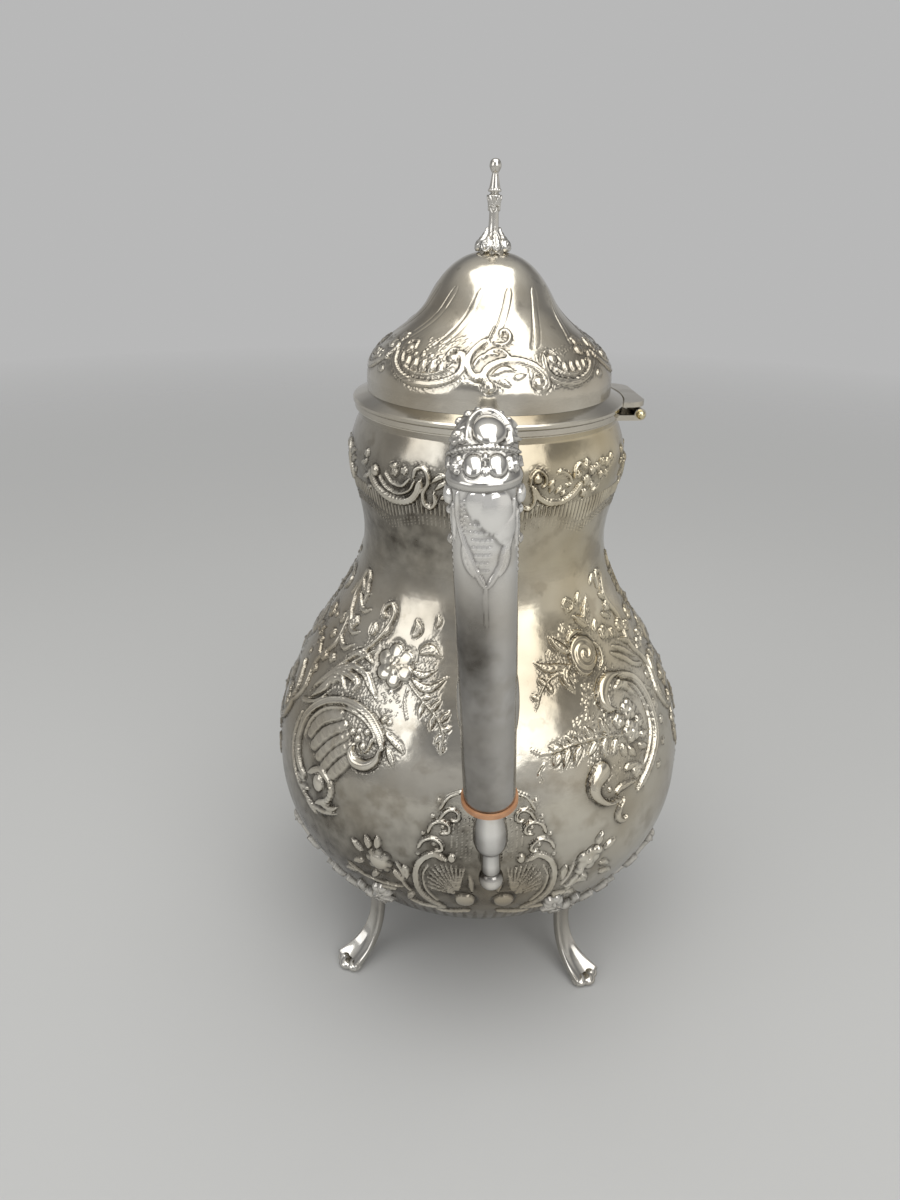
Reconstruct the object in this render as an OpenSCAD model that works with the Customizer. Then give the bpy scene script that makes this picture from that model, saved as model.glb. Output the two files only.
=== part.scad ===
// Pear-shaped embossed coffee pot on four cabriole feet, in millimetres.
// +Z is up and the origin is on the pot's axis, at the surface it stands on.
// The handle is at -Y, the spout at +Y and the lid's hinge at +X.

/* [Body] */
// Radius of the belly at its widest
belly_r = 70.2; // [62:0.2:85]
// Height of the belly's widest point
belly_z = 72.4; // [61:0.2:90]
// Height of the body's lowest point above the surface
base_z = 17; // [13:0.5:22]
// Radius of the waist under the collar
waist_r = 38.9; // [32:0.1:47]
// Height of the waist
waist_z = 155.4; // [143:0.2:164]
// Fullness of the shoulder, where 1 is a plain cosine sweep
shoulder_fullness = 1.24; // [1:0.02:1.5]
// Radius of the collar's bulge
collar_r = 42.6; // [36:0.1:51]
// Height of the collar's bulge
collar_z = 181.1; // [174:0.1:184]
// Outer radius of the mouth
mouth_r = 39.6; // [33:0.1:47]
// Height of the straight part of the mouth
mouth_h = 4; // [3.5:0.5:7]
// Height of the rim
rim_z = 195.9; // [191.5:0.2:222]
// Thickness of the sheet metal
wall = 1.2; // [0.9:0.1:1.5]

/* [Mouth wire] */
// Width of the wire round the mouth
wire_w = 1.2; // [0.8:0.1:1.6]
// Height of the wire round the mouth
wire_h = 2.1; // [1.7:0.1:2.8]

/* [Lid] */
// How far the flange stands out past the mouth wire
flange_overhang = 0.5; // [0.2:0.1:1.5]
// Thickness of the flange at its edge
flange_t = 1.6; // [1.5:0.1:2.4]
// How far the flange's top rises from its edge to the dome
flange_rise = 1.7; // [0.8:0.1:2.4]
// Rounding of the flange's edge
flange_round = 0.4; // [0.2:0.1:0.8]
// How far the plain band sits inside the mouth's outer radius
band_inset = 2.6; // [1.8:0.1:3]
// Height of the plain band
band_h = 3.6; // [2.4:0.2:8]
// Radius of the dome's throat, where the ogee turns into the crown
throat_r = 19; // [15:0.2:23]
// Height of the throat above the flange
throat_h = 25.4; // [22:0.2:30]
// Height of the dome above the flange
dome_h = 39.2; // [36:0.2:48]
// Slope of the ogee at the throat, outward for each step down
throat_slope = 0.56; // [0.4:0.02:0.7]
// Thickness of the lid's sheet metal
lid_wall = 1; // [0.8:0.1:1.4]
// Depth of the bezel in the neck
bezel_h = 4.5; // [3:0.5:5.5]
// Thickness of the bezel
bezel_t = 1; // [0.8:0.1:1.2]

/* [Finial] */
// Height of the finial above the dome
finial_h = 24; // [18:0.5:30]
// Radius of the leafy base
finial_base_r = 4.8; // [4.2:0.1:6.2]
// Radius of the stem
finial_stem_r = 1.8; // [1.5:0.1:2.4]
// Radius of the leaf tips round the top of the stem
finial_bud_r = 2.2; // [2:0.1:3]
// Radius of the ball
finial_ball_r = 1.6; // [1.4:0.1:2.2]
// Radius of the threaded stud
stud_r = 1.5; // [1.2:0.1:1.8]
// Length of the stud inside the lid
stud_h = 6; // [5:0.5:8]
// Thickness of the washer under the nut
washer_t = 0.8; // [0.6:0.1:1]
// Thickness of the nut
nut_t = 2.4; // [2:0.1:3]
// Radius of the nut over its corners
nut_r = 3.4; // [2.8:0.1:4.2]

/* [Hinge] */
// Turn of the hinge about the pot's axis, from square to the handle towards the spout
hinge_turn = 6.5; // [0:0.5:20]
// Width of the hinge along the pin
hinge_w = 28; // [24:0.5:34]
// Radius of the knuckles
knuckle_r = 1.8; // [1.5:0.1:2.1]
// Length of the lid's knuckle
lid_knuckle = 11; // [8:0.5:13]
// Distance from the flange's edge to the pin
pin_out = 3; // [2.8:0.1:4]
// Radius of the pin
pin_r = 0.9; // [0.7:0.05:1.1]
// Radius of the pin's ball ends
pin_ball_r = 1.35; // [1.1:0.05:1.6]
// Thickness of the leaf on the lid
lid_leaf_t = 1.5; // [1.2:0.1:1.6]
// Thickness of the leaf on the body
body_leaf_t = 1.6; // [1.2:0.1:1.9]
// How far the lid's leaf reaches past the pin
leaf_lip = 2; // [1.9:0.1:3]

/* [Handle] */
// Turn of the handle about the pot's axis, away from the spout's plane
handle_turn = 0.8; // [0:0.2:4]
// Sideways lean of the handle, which brings its lower end back to that plane
handle_lean = 2.7; // [0:0.1:3]
// Distance from the belly to the axis of the grip's lower end
grip_standoff = 8.8; // [8:0.2:12]
// Height of the grip's lower end above the belly's widest point
grip_rise = 33.5; // [28:0.5:40]
// Height of the grip's upper end above the collar
grip_top_rise = 13; // [11:0.5:15.5]
// Radius of the grip at its upper end
grip_top_r = 8.1; // [7:0.1:9.5]
// Radius of the grip at its lower end
grip_low_r = 7.1; // [5.8:0.1:7.6]
// How far the grip bows outward
grip_bow = 4.4; // [2:0.2:6]
// Angle through which the socket bends
socket_turn = 125; // [110:1:135]
// Height of the straight rim at the socket's mouth
socket_rim = 2; // [1.5:0.1:3]
// Half thickness of the socket at its bend
socket_t = 5.6; // [5:0.1:6.2]
// Half width of the socket's root on the neck
socket_root_w = 6.5; // [5:0.1:8]
// Half height of the socket's root on the neck
socket_root_h = 7; // [5:0.1:7.5]
// Radius of the boss on the socket's bend
boss_r = 5.6; // [4.5:0.1:6.5]
// Height of the boss on the socket's bend
boss_h = 1.9; // [1:0.1:2.6]
// Radius of the peg between socket and grip
peg_r = 4.5; // [3.5:0.1:5.5]
// Depth of the peg in the grip
peg_h = 19; // [17:0.5:23]
// Depth of the peg in the socket
peg_socket_h = 5; // [3:0.5:6]
// Height of the cross pin below the grip's upper end
cross_pin_drop = 14; // [11:0.5:16]
// Radius of the cross pin
cross_pin_r = 1.1; // [0.9:0.05:1.4]
// Radius of the cross pin's domed heads
cross_head_r = 1.7; // [1.4:0.1:2.2]
// Thickness of the leaf on the grip's inner side
leaf_t = 1; // [0.8:0.1:1.6]
// Height of the leaf on the grip's inner side
leaf_h = 16; // [12:0.5:19]
// Radius of the tan washer
insulator_r = 7.8; // [6.8:0.1:9]
// Thickness of the tan washer
insulator_t = 1.6; // [1.2:0.1:2.4]
// Radius of the washer's spigots
spigot_r = 2.6; // [2:0.1:3.2]
// Length of each spigot
spigot_h = 7; // [5:0.5:9]
// Radius of the bulb under the washer
bulb_r = 4.9; // [4.5:0.05:5.8]
// Length of the bulb
bulb_h = 19.5; // [16:0.5:22]
// Radius of the drop's stem
drop_stem_r = 3.3; // [2.6:0.1:4]
// Length of the drop's stem
drop_stem_h = 9; // [6:0.5:12]
// Radius of the drop's ball
drop_ball_r = 3.65; // [3:0.05:4.2]
// Radius of the arm between bulb and belly
arm_r = 3.4; // [2.6:0.1:4]

/* [Spout] */
// Height of the spout's root below the belly's widest point
root_drop = 6; // [0:0.5:12]
// Half width of the root
root_w = 13; // [11:0.2:16]
// Half height of the root
root_h = 21; // [17:0.5:24]
// Radius of the spout where it leaves the belly
spout_r = 8.5; // [7.5:0.1:10]
// Radius of the spout's throat near the lip
spout_throat_r = 5.6; // [5:0.1:7]
// How much the lip flares
lip_flare = 1.4; // [0.6:0.1:2.4]
// Distance from the belly to the spout's axis
spout_standoff = 8.6; // [8:0.1:12]
// Height of the lip below the rim
lip_drop = 15.5; // [7:0.5:30]
// Thickness of the spout's wall
spout_wall = 1.2; // [1:0.1:1.6]
// Radius of the hole in the body behind the spout
outlet_r = 9; // [7:0.2:10.5]

/* [Strainer] */
// How far the strainer overlaps the wall round the hole
strainer_lap = 3; // [2:0.2:4]
// Thickness of the strainer
strainer_t = 0.8; // [0.6:0.1:1.2]
// Radius of one hole in the strainer
strainer_hole_r = 1.2; // [0.8:0.1:1.3]

/* [Feet] */
// Turn of the feet about the pot's axis, from midway between handle and hinge
foot_turn = 2.5; // [0:0.5:6]
// Radius of the circle on which the toes stand
toe_circle_r = 60.2; // [53:0.2:67]
// Radius at which the legs leave the body
leg_root_r = 47; // [42:0.5:52]
// Width of the leg at its narrowest
leg_w = 5; // [4:0.1:6]
// Width of the toe
toe_w = 10.8; // [9:0.1:13]
// Thickness of the leg
leg_t = 3.2; // [2.6:0.1:4]
// Thickness of the spray on the body
spray_t = 2.2; // [1.4:0.1:3]
// Width of the spray's half
spray_w = 23; // [17:0.5:27]

/* [Fits] */
// Gap that stands for a soldered seam
seam = 0.05; // [0.03:0.01:0.1]
// Gap that stands for the solder behind a cast root
root_seam = 0.15; // [0.12:0.01:0.2]
// Radial clearance of the turning pin
running = 0.05; // [0.02:0.01:0.1]
// Gap between parts that swing past each other
swing_gap = 0.35; // [0.3:0.05:0.5]
// Radial gap between bezel and neck
bezel_gap = 0.7; // [0.5:0.1:1]

/* [Hidden] */
$fn = 64;
silver = [0.78, 0.77, 0.74];
bright_silver = [0.86, 0.85, 0.82];
tan_fibre = [0.76, 0.46, 0.24];

// A value between a and b
function mix(a, b, t) = a + (b - a) * t;
// Half a cosine wave from a to b, fuller towards a when k is above 1
function sweep_between(a, b, t, k = 1) = mix(b, a, (1 + cos(180 * pow(t, k))) / 2);
function backwards(list) = [for (i = [len(list) - 1 : -1 : 0]) list[i]];
// A point on a cubic curve with four control points, and its direction there
function curve_at(p, t) =
    pow(1 - t, 3) * p[0] + 3 * t * pow(1 - t, 2) * p[1] + 3 * t * t * (1 - t) * p[2] + pow(t, 3) * p[3];
function unit(v) = v / norm(v);
function curve_dir(p, t) =
    unit(pow(1 - t, 2) * (p[1] - p[0]) + 2 * t * (1 - t) * (p[2] - p[1]) + t * t * (p[3] - p[2]));
// A profile of [radius, height] points moved outward by d, with its first point kept on the axis
function shifted(curve, d) = [
    for (i = [0 : len(curve) - 1])
        let (before = curve[max(i - 1, 0)], after = curve[min(i + 1, len(curve) - 1)], along = unit(after - before))
        i == 0 && curve[0].x == 0
            ? [0, curve[0].y - d]
            : [curve[i].x + d * along.y, curve[i].y - d * along.x]
];

// Outer profile of the body from the middle of its base up to the rim
low_steps = 16;
shoulder_steps = 18;
neck_steps = 8;
collar_steps = 5;
low_curve = [
    for (i = [0 : low_steps])
        let (a = 90 * i / low_steps)
        [belly_r * sin(a), belly_z - (belly_z - base_z) * cos(a)]
];
body_curve = concat(
    low_curve,
    [for (i = [1 : shoulder_steps])
        let (t = i / shoulder_steps)
        [sweep_between(belly_r, waist_r, t, shoulder_fullness), mix(belly_z, waist_z, t)]],
    [for (i = [1 : neck_steps])
        let (t = i / neck_steps)
        [sweep_between(waist_r, collar_r, t), mix(waist_z, collar_z, t)]],
    [for (i = [1 : collar_steps])
        let (t = i / collar_steps)
        [mix(mouth_r, collar_r, cos(90 * t)), mix(collar_z, rim_z - mouth_h, t)]],
    [[mouth_r, rim_z]]
);
radius_table = [for (p = body_curve) [p.y, p.x]];
// Outer radius of the body at height z, and the height of its underside at radius r
function body_r(z) = lookup(z, radius_table);
function under_z(r) = belly_z - (belly_z - base_z) * sqrt(1 - pow(r / belly_r, 2));

// Lid heights and radii
flange_z = rim_z + 0.1;
flange_top = flange_z + flange_t + flange_rise;
wire_r = mouth_r + wire_w;
flange_r = wire_r + flange_overhang;
band_r = mouth_r - band_inset;
bezel_r = mouth_r - wall - bezel_gap;
dome_steps = 14;
crown_steps = 12;
throat = [throat_r, flange_top + throat_h];
throat_pull = 0.47 * (dome_h - throat_h);
ogee_pull = 0.37 * (throat_h - band_h);
ogee = [
    [band_r, flange_top + band_h],
    [band_r, flange_top + mix(band_h, throat_h, 0.49)],
    throat + ogee_pull * [throat_slope, -1],
    throat
];
crown = [
    throat,
    throat + throat_pull * [-throat_slope, 1],
    [0.58 * throat_r, flange_top + dome_h],
    [0, flange_top + dome_h]
];
crown_curve = [for (i = [1 : crown_steps]) curve_at(crown, i / crown_steps)];
dome_curve = concat(
    [[band_r, flange_top]],
    [for (i = [0 : dome_steps]) curve_at(ogee, i / dome_steps)],
    crown_curve
);
// Height of the crown's outside at radius r
function crown_z(r) = lookup(r, backwards(crown_curve));
dome_top = flange_top + dome_h;
// Flat seat inside the crown for the washer and nut
washer_r = stud_r + 1.9;
seat_r = washer_r + 0.3;
seat_z = crown_z(seat_r) - lid_wall;

// Hinge axis
hinge_x = flange_r + pin_out;
lid_leaf_z = flange_z + flange_t - lid_leaf_t;
hinge_z = lid_leaf_z - knuckle_r - swing_gap;

// Handle line in [distance from the axis, height]
grip_low = [belly_r + grip_standoff, belly_z + grip_rise];
grip_top = [grip_low.x - 0.5, collar_z + grip_top_rise];
grip_line = [
    grip_top - [0, seam],
    [grip_top.x, mix(grip_top.y, grip_low.y, 0.3)],
    [grip_low.x + 0.75 * grip_bow, mix(grip_top.y, grip_low.y, 0.72)],
    grip_low
];
low_tilt = atan2(grip_line[2].x - grip_low.x, grip_line[2].y - grip_low.y);
cross_pin_z = grip_top.y - cross_pin_drop;

// Spout line in [distance from the axis, height]
root_z = belly_z - root_drop;
spout_start = [belly_r + spout_standoff, belly_z + 1.15 * root_h];
lip_past_grip = 2.6;
lip = [grip_low.x + lip_past_grip, rim_z - lip_drop];
spout_line = [
    spout_start,
    [spout_start.x - 1, mix(spout_start.y, lip.y, 0.36)],
    [lip.x - 16, mix(spout_start.y, lip.y, 0.64)],
    lip
];

// Rings of points, each a closed loop of n points round a line in the YZ plane
plain_n = 24;
function even(r, n = plain_n) = [for (i = [1 : n]) r];
function on_body(x, z, gap) = let (r = body_r(z) + gap) [x, sqrt(r * r - x * x), z];
function root_ring(zc, w, h, gap, n = plain_n) = [
    for (i = [0 : n - 1])
        let (a = 360 * i / n)
        on_body(w * cos(a), zc + h * sin(a), gap)
];
// A ring across a line, where each point has its own radius
function tube_ring(centre, dir, radii) = [
    for (i = [0 : len(radii) - 1])
        let (a = 360 * i / len(radii), side = radii[i] * cos(a), up = radii[i] * sin(a))
        [side, centre.x - up * dir.y, centre.y + up * dir.x]
];
function tube_rings(line, radii_rows) =
    let (steps = len(radii_rows) - 1)
    [for (k = [0 : steps]) tube_ring(curve_at(line, k / steps), curve_dir(line, k / steps), radii_rows[k])];
// Rings that leave the body square to it and turn into the first ring of a tube
function root_loft(root, ring, leave, arrive, steps) = [
    for (k = [0 : steps - 1])
        [for (i = [0 : len(ring) - 1])
            let (pull = 0.42 * norm(ring[i] - root[i]))
            curve_at([root[i], root[i] + pull * leave, ring[i] - pull * arrive, ring[i]], k / steps)]
];
function in_plane(d) = [0, d.x, d.y];
// Faces between neighbouring rings, and from the last ring to the first when wrapped
function ring_faces(count, n, wrapped) = [
    for (k = [0 : count - (wrapped ? 1 : 2)], i = [0 : n - 1])
        let (here = k * n, next = ((k + 1) % count) * n, j = (i + 1) % n)
        each [[here + i, next + i, next + j], [here + i, next + j, here + j]]
];
function joined(rings) = [for (ring = rings) each ring];
function mean_of(ring) = [for (p = ring) 1] * ring / len(ring);
module solid_of(rings) {
    count = len(rings);
    n = len(rings[0]);
    last = (count - 1) * n;
    hub = count * n;
    centres = [mean_of(rings[0]), mean_of(rings[count - 1])];
    caps = [
        for (i = [0 : n - 1])
            let (j = (i + 1) % n)
            each [[hub, i, j], [hub + 1, last + j, last + i]]
    ];
    polyhedron(concat(joined(rings), centres), concat(ring_faces(count, n, false), caps), convexity = 6);
}
module shell_of(outer, inner) {
    rings = concat(outer, backwards(inner));
    polyhedron(joined(rings), ring_faces(len(rings), len(rings[0]), true), convexity = 6);
}

// Solid block of the body, grown by a gap, for cutting what seats on it
module body_block(gap) {
    outline = shifted(body_curve, gap);
    rotate_extrude() polygon(concat(outline, [[0, rim_z]]));
}
// Turns what is drawn along +Y to the handle's side, leaning about its root on the collar
module at_handle() {
    rotate([0, 0, 180 - handle_turn])
        translate([0, 0, collar_z])
            rotate([0, handle_lean, 0])
                translate([0, 0, -collar_z])
                    children();
}
// Turns what is drawn along +X to the hinge's side
module at_hinge() {
    rotate([0, 0, hinge_turn]) children();
}
// The lower joint's frame: local +Z runs down the drop
module at_drop() {
    at_handle()
        translate([0, grip_low.x, grip_low.y])
            rotate([180 - low_tilt, 0, 0])
                children();
}

module body() {
    color(silver)
        difference() {
            rotate_extrude()
                polygon(concat(body_curve, backwards(shifted(body_curve, -wall))));
            translate([0, 0, root_z])
                rotate([-90, 0, 0])
                    cylinder(r = outlet_r, h = 2 * belly_r);
        }
}

module mouth_wire() {
    color(silver)
        translate([0, 0, rim_z - wire_h])
            rotate_extrude()
                difference() {
                    translate([mouth_r + seam, 0]) square([wire_w - seam, wire_h]);
                    translate([wire_r, 0]) circle(r = wire_w / 2);
                }
}

module spout() {
    loft_steps = 8;
    tube_steps = 14;
    radii = [
        for (k = [0 : tube_steps])
            let (t = k / tube_steps)
            mix(spout_r, spout_throat_r, pow(t, 0.8)) + lip_flare * pow(t, 7)
    ];
    function skin(thin) =
        let (
            tube = tube_rings(spout_line, [for (r = radii) even(r - thin)]),
            root = root_ring(root_z, root_w - thin, root_h - thin, root_seam),
            arrive = in_plane(curve_dir(spout_line, 0))
        )
        concat(root_loft(root, tube[0], unit([0, 1, 0.15]), arrive, loft_steps), tube);
    color(silver) shell_of(skin(0), skin(spout_wall));
}

module strainer() {
    disc_r = outlet_r + strainer_lap;
    pitch = 3 * strainer_hole_r;
    inside = [for (p = shifted(body_curve, -wall - seam)) if (abs(p.y - root_z) < 3 * disc_r) p];
    color(silver)
        difference() {
            intersection() {
                rotate_extrude()
                    polygon(concat(inside, backwards(shifted(inside, -strainer_t))));
                translate([0, 0, root_z])
                    rotate([-90, 0, 0])
                        cylinder(r = disc_r, h = 2 * belly_r);
            }
            for (ring = [0 : 2], i = [0 : max(6 * ring, 1) - 1])
                translate([0, 0, root_z])
                    rotate([-90, 0, 0])
                        rotate([0, 0, ring == 0 ? 0 : 60 * i / ring])
                            translate([pitch * ring, 0, 0])
                                cylinder(r = strainer_hole_r, h = 2 * belly_r, $fn = 24);
        }
}

// A rounded swelling of height h and radius r, at distance d from its middle
function swelling(h, r, d) = h * exp(-pow(d / r, 4));
// Radius of an oval with half width w and half thickness t, at angle a
function oval(w, t, a) = w * t / norm([t * cos(a), w * sin(a)]);

// The cast socket: a bent arm with a smooth boss on its bend, a volute on each cheek,
// two oval drops below the boss and a flared mouth over the grip
module handle_upper_socket() {
    n = 40;
    loft_steps = 9;
    bend_steps = 26;
    start_w = 6.2;
    bend_len = 29;
    groove = 0.6;
    flare = 0.9;
    inside_bend = 0.6;
    // Place along the bend, angle round it, height and radius of each swelling
    swellings = [
        [0.5, 90, boss_h, boss_r],
        [0.52, 12, 0.5, 3.8],
        [0.52, 168, 0.5, 3.8],
        [0.82, 64, 0.8, 2.6],
        [0.82, 116, 0.8, 2.6]
    ];
    function half_t(t) = mix(mix(start_w, socket_t, min(1, 2 * t)), grip_top_r, pow(t, 3));
    function rim_at(t) = flare * pow(t, 12);
    function radius_at(t, a) =
        let (
            half_w = mix(start_w, grip_top_r, min(1, 1.6 * t)),
            ring = rim_at(t) - groove * exp(-pow((t - 0.7) / 0.04, 2)),
            plain = oval(half_w, half_t(t), a) + ring,
            relief = [
                for (w = swellings)
                    swelling(w[2], w[3], norm([(t - w[0]) * bend_len, plain * (a - w[1]) * PI / 180]))
            ]
        )
        plain + relief * [for (w = swellings) 1];
    // Angles run from -90 to 270, so that no swelling straddles their ends
    function from_below(a) = a > 270 ? a - 360 : a;
    // Every ring of the bend lies in a plane through one pivot, so that none cross
    function bend_r(t) = half_t(t) + rim_at(t) + inside_bend;
    pivot = grip_top + [-bend_r(1), socket_rim];
    function bend_ring(t) =
        let (turn = socket_turn * (1 - t), out = [cos(turn), sin(turn)])
        tube_ring(
            pivot + bend_r(t) * out,
            [out.y, -out.x],
            [for (i = [0 : n - 1]) radius_at(t, from_below(360 * i / n))]
        );
    mouth = tube_ring(grip_top, [0, -1], [for (i = [0 : n - 1]) radius_at(1, from_below(360 * i / n))]);
    bend = [for (k = [0 : bend_steps]) bend_ring(k / bend_steps)];
    arrive = [0, sin(socket_turn), -cos(socket_turn)];
    root = root_ring(collar_z, socket_root_w, socket_root_h, root_seam, n);
    seat = [
        for (k = [0.05, 0.4, 0.75])
            root_ring(collar_z, k * socket_root_w, k * socket_root_h, root_seam, n)
    ];
    color(bright_silver)
        at_handle()
            difference() {
                solid_of(concat(
                    seat,
                    root_loft(root, bend[0], [0, 1, 0], arrive, loft_steps),
                    bend,
                    [mouth]
                ));
                translate([0, grip_top.x, grip_top.y - 1])
                    cylinder(r = peg_r + seam, h = peg_socket_h + 1 + seam);
            }
}

module handle_upper_insulator() {
    color(tan_fibre)
        at_handle()
            difference() {
                translate([0, grip_top.x, grip_top.y - peg_h])
                    cylinder(r = peg_r, h = peg_h + peg_socket_h);
                translate([0, grip_top.x, cross_pin_z])
                    rotate([0, 90, 0])
                        cylinder(r = cross_pin_r + seam, h = 4 * peg_r, center = true);
            }
}

module handle_upper_pin() {
    half = grip_top_r;
    sink = 0.45 * cross_head_r;
    color(bright_silver)
        at_handle()
            translate([0, grip_top.x, cross_pin_z])
                rotate([0, 90, 0]) {
                    cylinder(r = cross_pin_r, h = 2 * half, center = true);
                    for (end = [-1, 1])
                        intersection() {
                            translate([0, 0, end * (half - sink)]) sphere(r = cross_head_r);
                            translate([0, 0, end * (half + cross_head_r)])
                                cube([4 * cross_head_r, 4 * cross_head_r, 2 * cross_head_r], center = true);
                        }
                }
}

module handle_grip() {
    steps = 26;
    rows = [for (k = [0 : steps]) even(mix(grip_top_r, grip_low_r, k / steps))];
    color(silver) {
        difference() {
            at_handle() solid_of(tube_rings(grip_line, rows));
            at_handle()
                translate([0, grip_top.x, grip_top.y - peg_h - seam])
                    cylinder(r = peg_r + seam, h = peg_h + 1);
            at_handle()
                translate([0, grip_top.x, cross_pin_z])
                    rotate([0, 90, 0])
                        cylinder(r = cross_pin_r + seam, h = 4 * grip_top_r, center = true);
            at_drop()
                translate([0, 0, -spigot_h - seam])
                    cylinder(r = spigot_r + seam, h = spigot_h + 1);
        }
    }
}

module handle_inner_leaf() {
    place = 0.645;
    centre = curve_at(grip_line, place);
    dir = curve_dir(grip_line, place);
    inner_r = mix(grip_top_r, grip_low_r, place) + 0.3;
    wrap = 2.4;
    color(bright_silver)
        at_handle()
            translate([0, centre.x, centre.y])
                rotate([atan2(dir.x, -dir.y), 0, 0])
                    intersection() {
                        difference() {
                            cylinder(r = inner_r + leaf_t, h = leaf_h, center = true);
                            cylinder(r = inner_r, h = 2 * leaf_h, center = true);
                        }
                        translate([0, wrap, 0])
                            rotate([90, 0, 0])
                                linear_extrude(2 * inner_r)
                                    intersection() {
                                        translate([0, leaf_h / 4]) circle(r = inner_r + leaf_t + 1);
                                        square([4 * inner_r, leaf_h], center = true);
                                    }
                    }
}

module handle_lower_insulator() {
    color(tan_fibre)
        at_drop() {
            translate([0, 0, seam]) cylinder(r = insulator_r, h = insulator_t - seam);
            translate([0, 0, -spigot_h]) cylinder(r = spigot_r, h = 2 * spigot_h + insulator_t);
        }
}

module handle_lower_socket() {
    bulge = 0.7;
    neck_r = bulb_r - bulge;
    shoulder = 1.5;
    ball_z = bulb_h + drop_stem_h + 0.8 * drop_ball_r;
    bulb_steps = 10;
    color(bright_silver)
        difference() {
            union() {
                at_drop()
                    translate([0, 0, insulator_t + seam]) {
                        rotate_extrude()
                            polygon(concat(
                                [[0, 0], [neck_r, 0]],
                                [for (i = [1 : bulb_steps])
                                    let (t = i / bulb_steps)
                                    [neck_r + bulge * sin(180 * t), (bulb_h - shoulder) * t]],
                                [
                                    [neck_r - 0.3 * shoulder, bulb_h - 0.3 * shoulder],
                                    [drop_stem_r, bulb_h],
                                    [drop_stem_r, ball_z],
                                    [0, ball_z]
                                ]
                            ));
                        translate([0, 0, ball_z]) sphere(r = drop_ball_r);
                    }
                arm_z = grip_low.y - insulator_t - 0.5 * bulb_h;
                at_handle()
                    translate([0, waist_r, arm_z])
                        rotate([-90, 0, 0])
                            cylinder(r = arm_r, h = grip_low.x - waist_r - 1);
            }
            at_drop()
                cylinder(r = spigot_r + seam, h = insulator_t + spigot_h + seam);
            body_block(seam);
        }
}

module lid_dome() {
    inner = [for (p = shifted(dome_curve, -lid_wall)) if (p.x > seat_r && p.y < seat_z) p];
    color(silver)
        difference() {
            rotate_extrude()
                polygon(concat(dome_curve, [[0, seat_z], [seat_r, seat_z]], backwards(inner)));
            translate([0, 0, flange_top])
                cylinder(r = stud_r + seam, h = 2 * dome_h);
        }
}

module lid_flange() {
    hole_r = band_r - lid_wall;
    color(silver)
        translate([0, 0, flange_z])
            rotate_extrude()
                polygon([
                    [hole_r, 0],
                    [flange_r - flange_round, 0],
                    [flange_r, flange_round],
                    [flange_r, flange_t - flange_round],
                    [flange_r - flange_round, flange_t],
                    [band_r, flange_t + flange_rise - seam],
                    [hole_r, flange_t + flange_rise - seam]
                ]);
}

module lid_bezel() {
    color(silver)
        translate([0, 0, flange_z - bezel_h - seam])
            rotate_extrude()
                translate([bezel_r - bezel_t, 0]) square([bezel_t, bezel_h]);
}

// One knuckle along Y with its bore, from y0 to y1
module knuckle(y0, y1, bore_r) {
    translate([hinge_x, y0, hinge_z])
        rotate([-90, 0, 0])
            difference() {
                cylinder(r = knuckle_r, h = y1 - y0);
                translate([0, 0, -1]) cylinder(r = bore_r, h = y1 - y0 + 2);
            }
}

module lid_hinge_leaf() {
    corner_r = 5;
    reach_x = hinge_x + leaf_lip;
    bore_r = pin_r + running;
    web_w = 2 * knuckle_r - 0.4;
    color(silver)
        at_hinge() difference() {
            union() {
                translate([0, 0, lid_leaf_z])
                    linear_extrude(lid_leaf_t)
                        difference() {
                            union() {
                                translate([0, -hinge_w / 2]) square([reach_x - corner_r, hinge_w]);
                                translate([0, corner_r - hinge_w / 2]) square([reach_x, hinge_w - 2 * corner_r]);
                                for (side = [-1, 1])
                                    translate([reach_x - corner_r, side * (hinge_w / 2 - corner_r)])
                                        circle(r = corner_r);
                            }
                            circle(r = flange_r + seam);
                        }
                knuckle(-lid_knuckle / 2, lid_knuckle / 2, bore_r);
                translate([hinge_x - web_w / 2, -lid_knuckle / 2, hinge_z])
                    cube([web_w, lid_knuckle, lid_leaf_z - hinge_z + 0.2]);
            }
            translate([hinge_x, 0, hinge_z])
                rotate([90, 0, 0])
                    cylinder(r = bore_r, h = 2 * hinge_w, center = true);
        }
}

module body_hinge_leaf() {
    bore_r = pin_r + running / 2;
    leaf_z = hinge_z - knuckle_r;
    inner_y = lid_knuckle / 2 + swing_gap;
    outer_y = hinge_w / 2;
    slot_x = hinge_x - knuckle_r - swing_gap;
    color(silver)
        at_hinge() difference() {
            union() {
                translate([0, -outer_y, leaf_z]) cube([hinge_x, hinge_w, body_leaf_t]);
                for (side = [0, 1])
                    mirror([0, side, 0]) knuckle(inner_y, outer_y, bore_r);
            }
            translate([slot_x, -inner_y, leaf_z - 1]) cube([hinge_x, 2 * inner_y, 4 * knuckle_r]);
            translate([0, 0, rim_z - wire_h - seam]) cylinder(r = wire_r + seam, h = 4 * knuckle_r);
            body_block(seam);
            translate([hinge_x, 0, hinge_z])
                rotate([90, 0, 0])
                    cylinder(r = bore_r, h = 2 * hinge_w, center = true);
        }
}

module hinge_pin() {
    half = hinge_w / 2 + 0.5 * pin_ball_r;
    color("goldenrod")
        at_hinge() translate([hinge_x, 0, hinge_z])
            rotate([90, 0, 0]) {
                cylinder(r = pin_r, h = 2 * half, center = true);
                for (end = [-1, 1])
                    intersection() {
                        translate([0, 0, end * half]) sphere(r = pin_ball_r);
                        translate([0, 0, end * (hinge_w / 2 + seam + pin_ball_r)])
                            cube([4 * pin_ball_r, 4 * pin_ball_r, 2 * pin_ball_r], center = true);
                    }
            }
}

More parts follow.
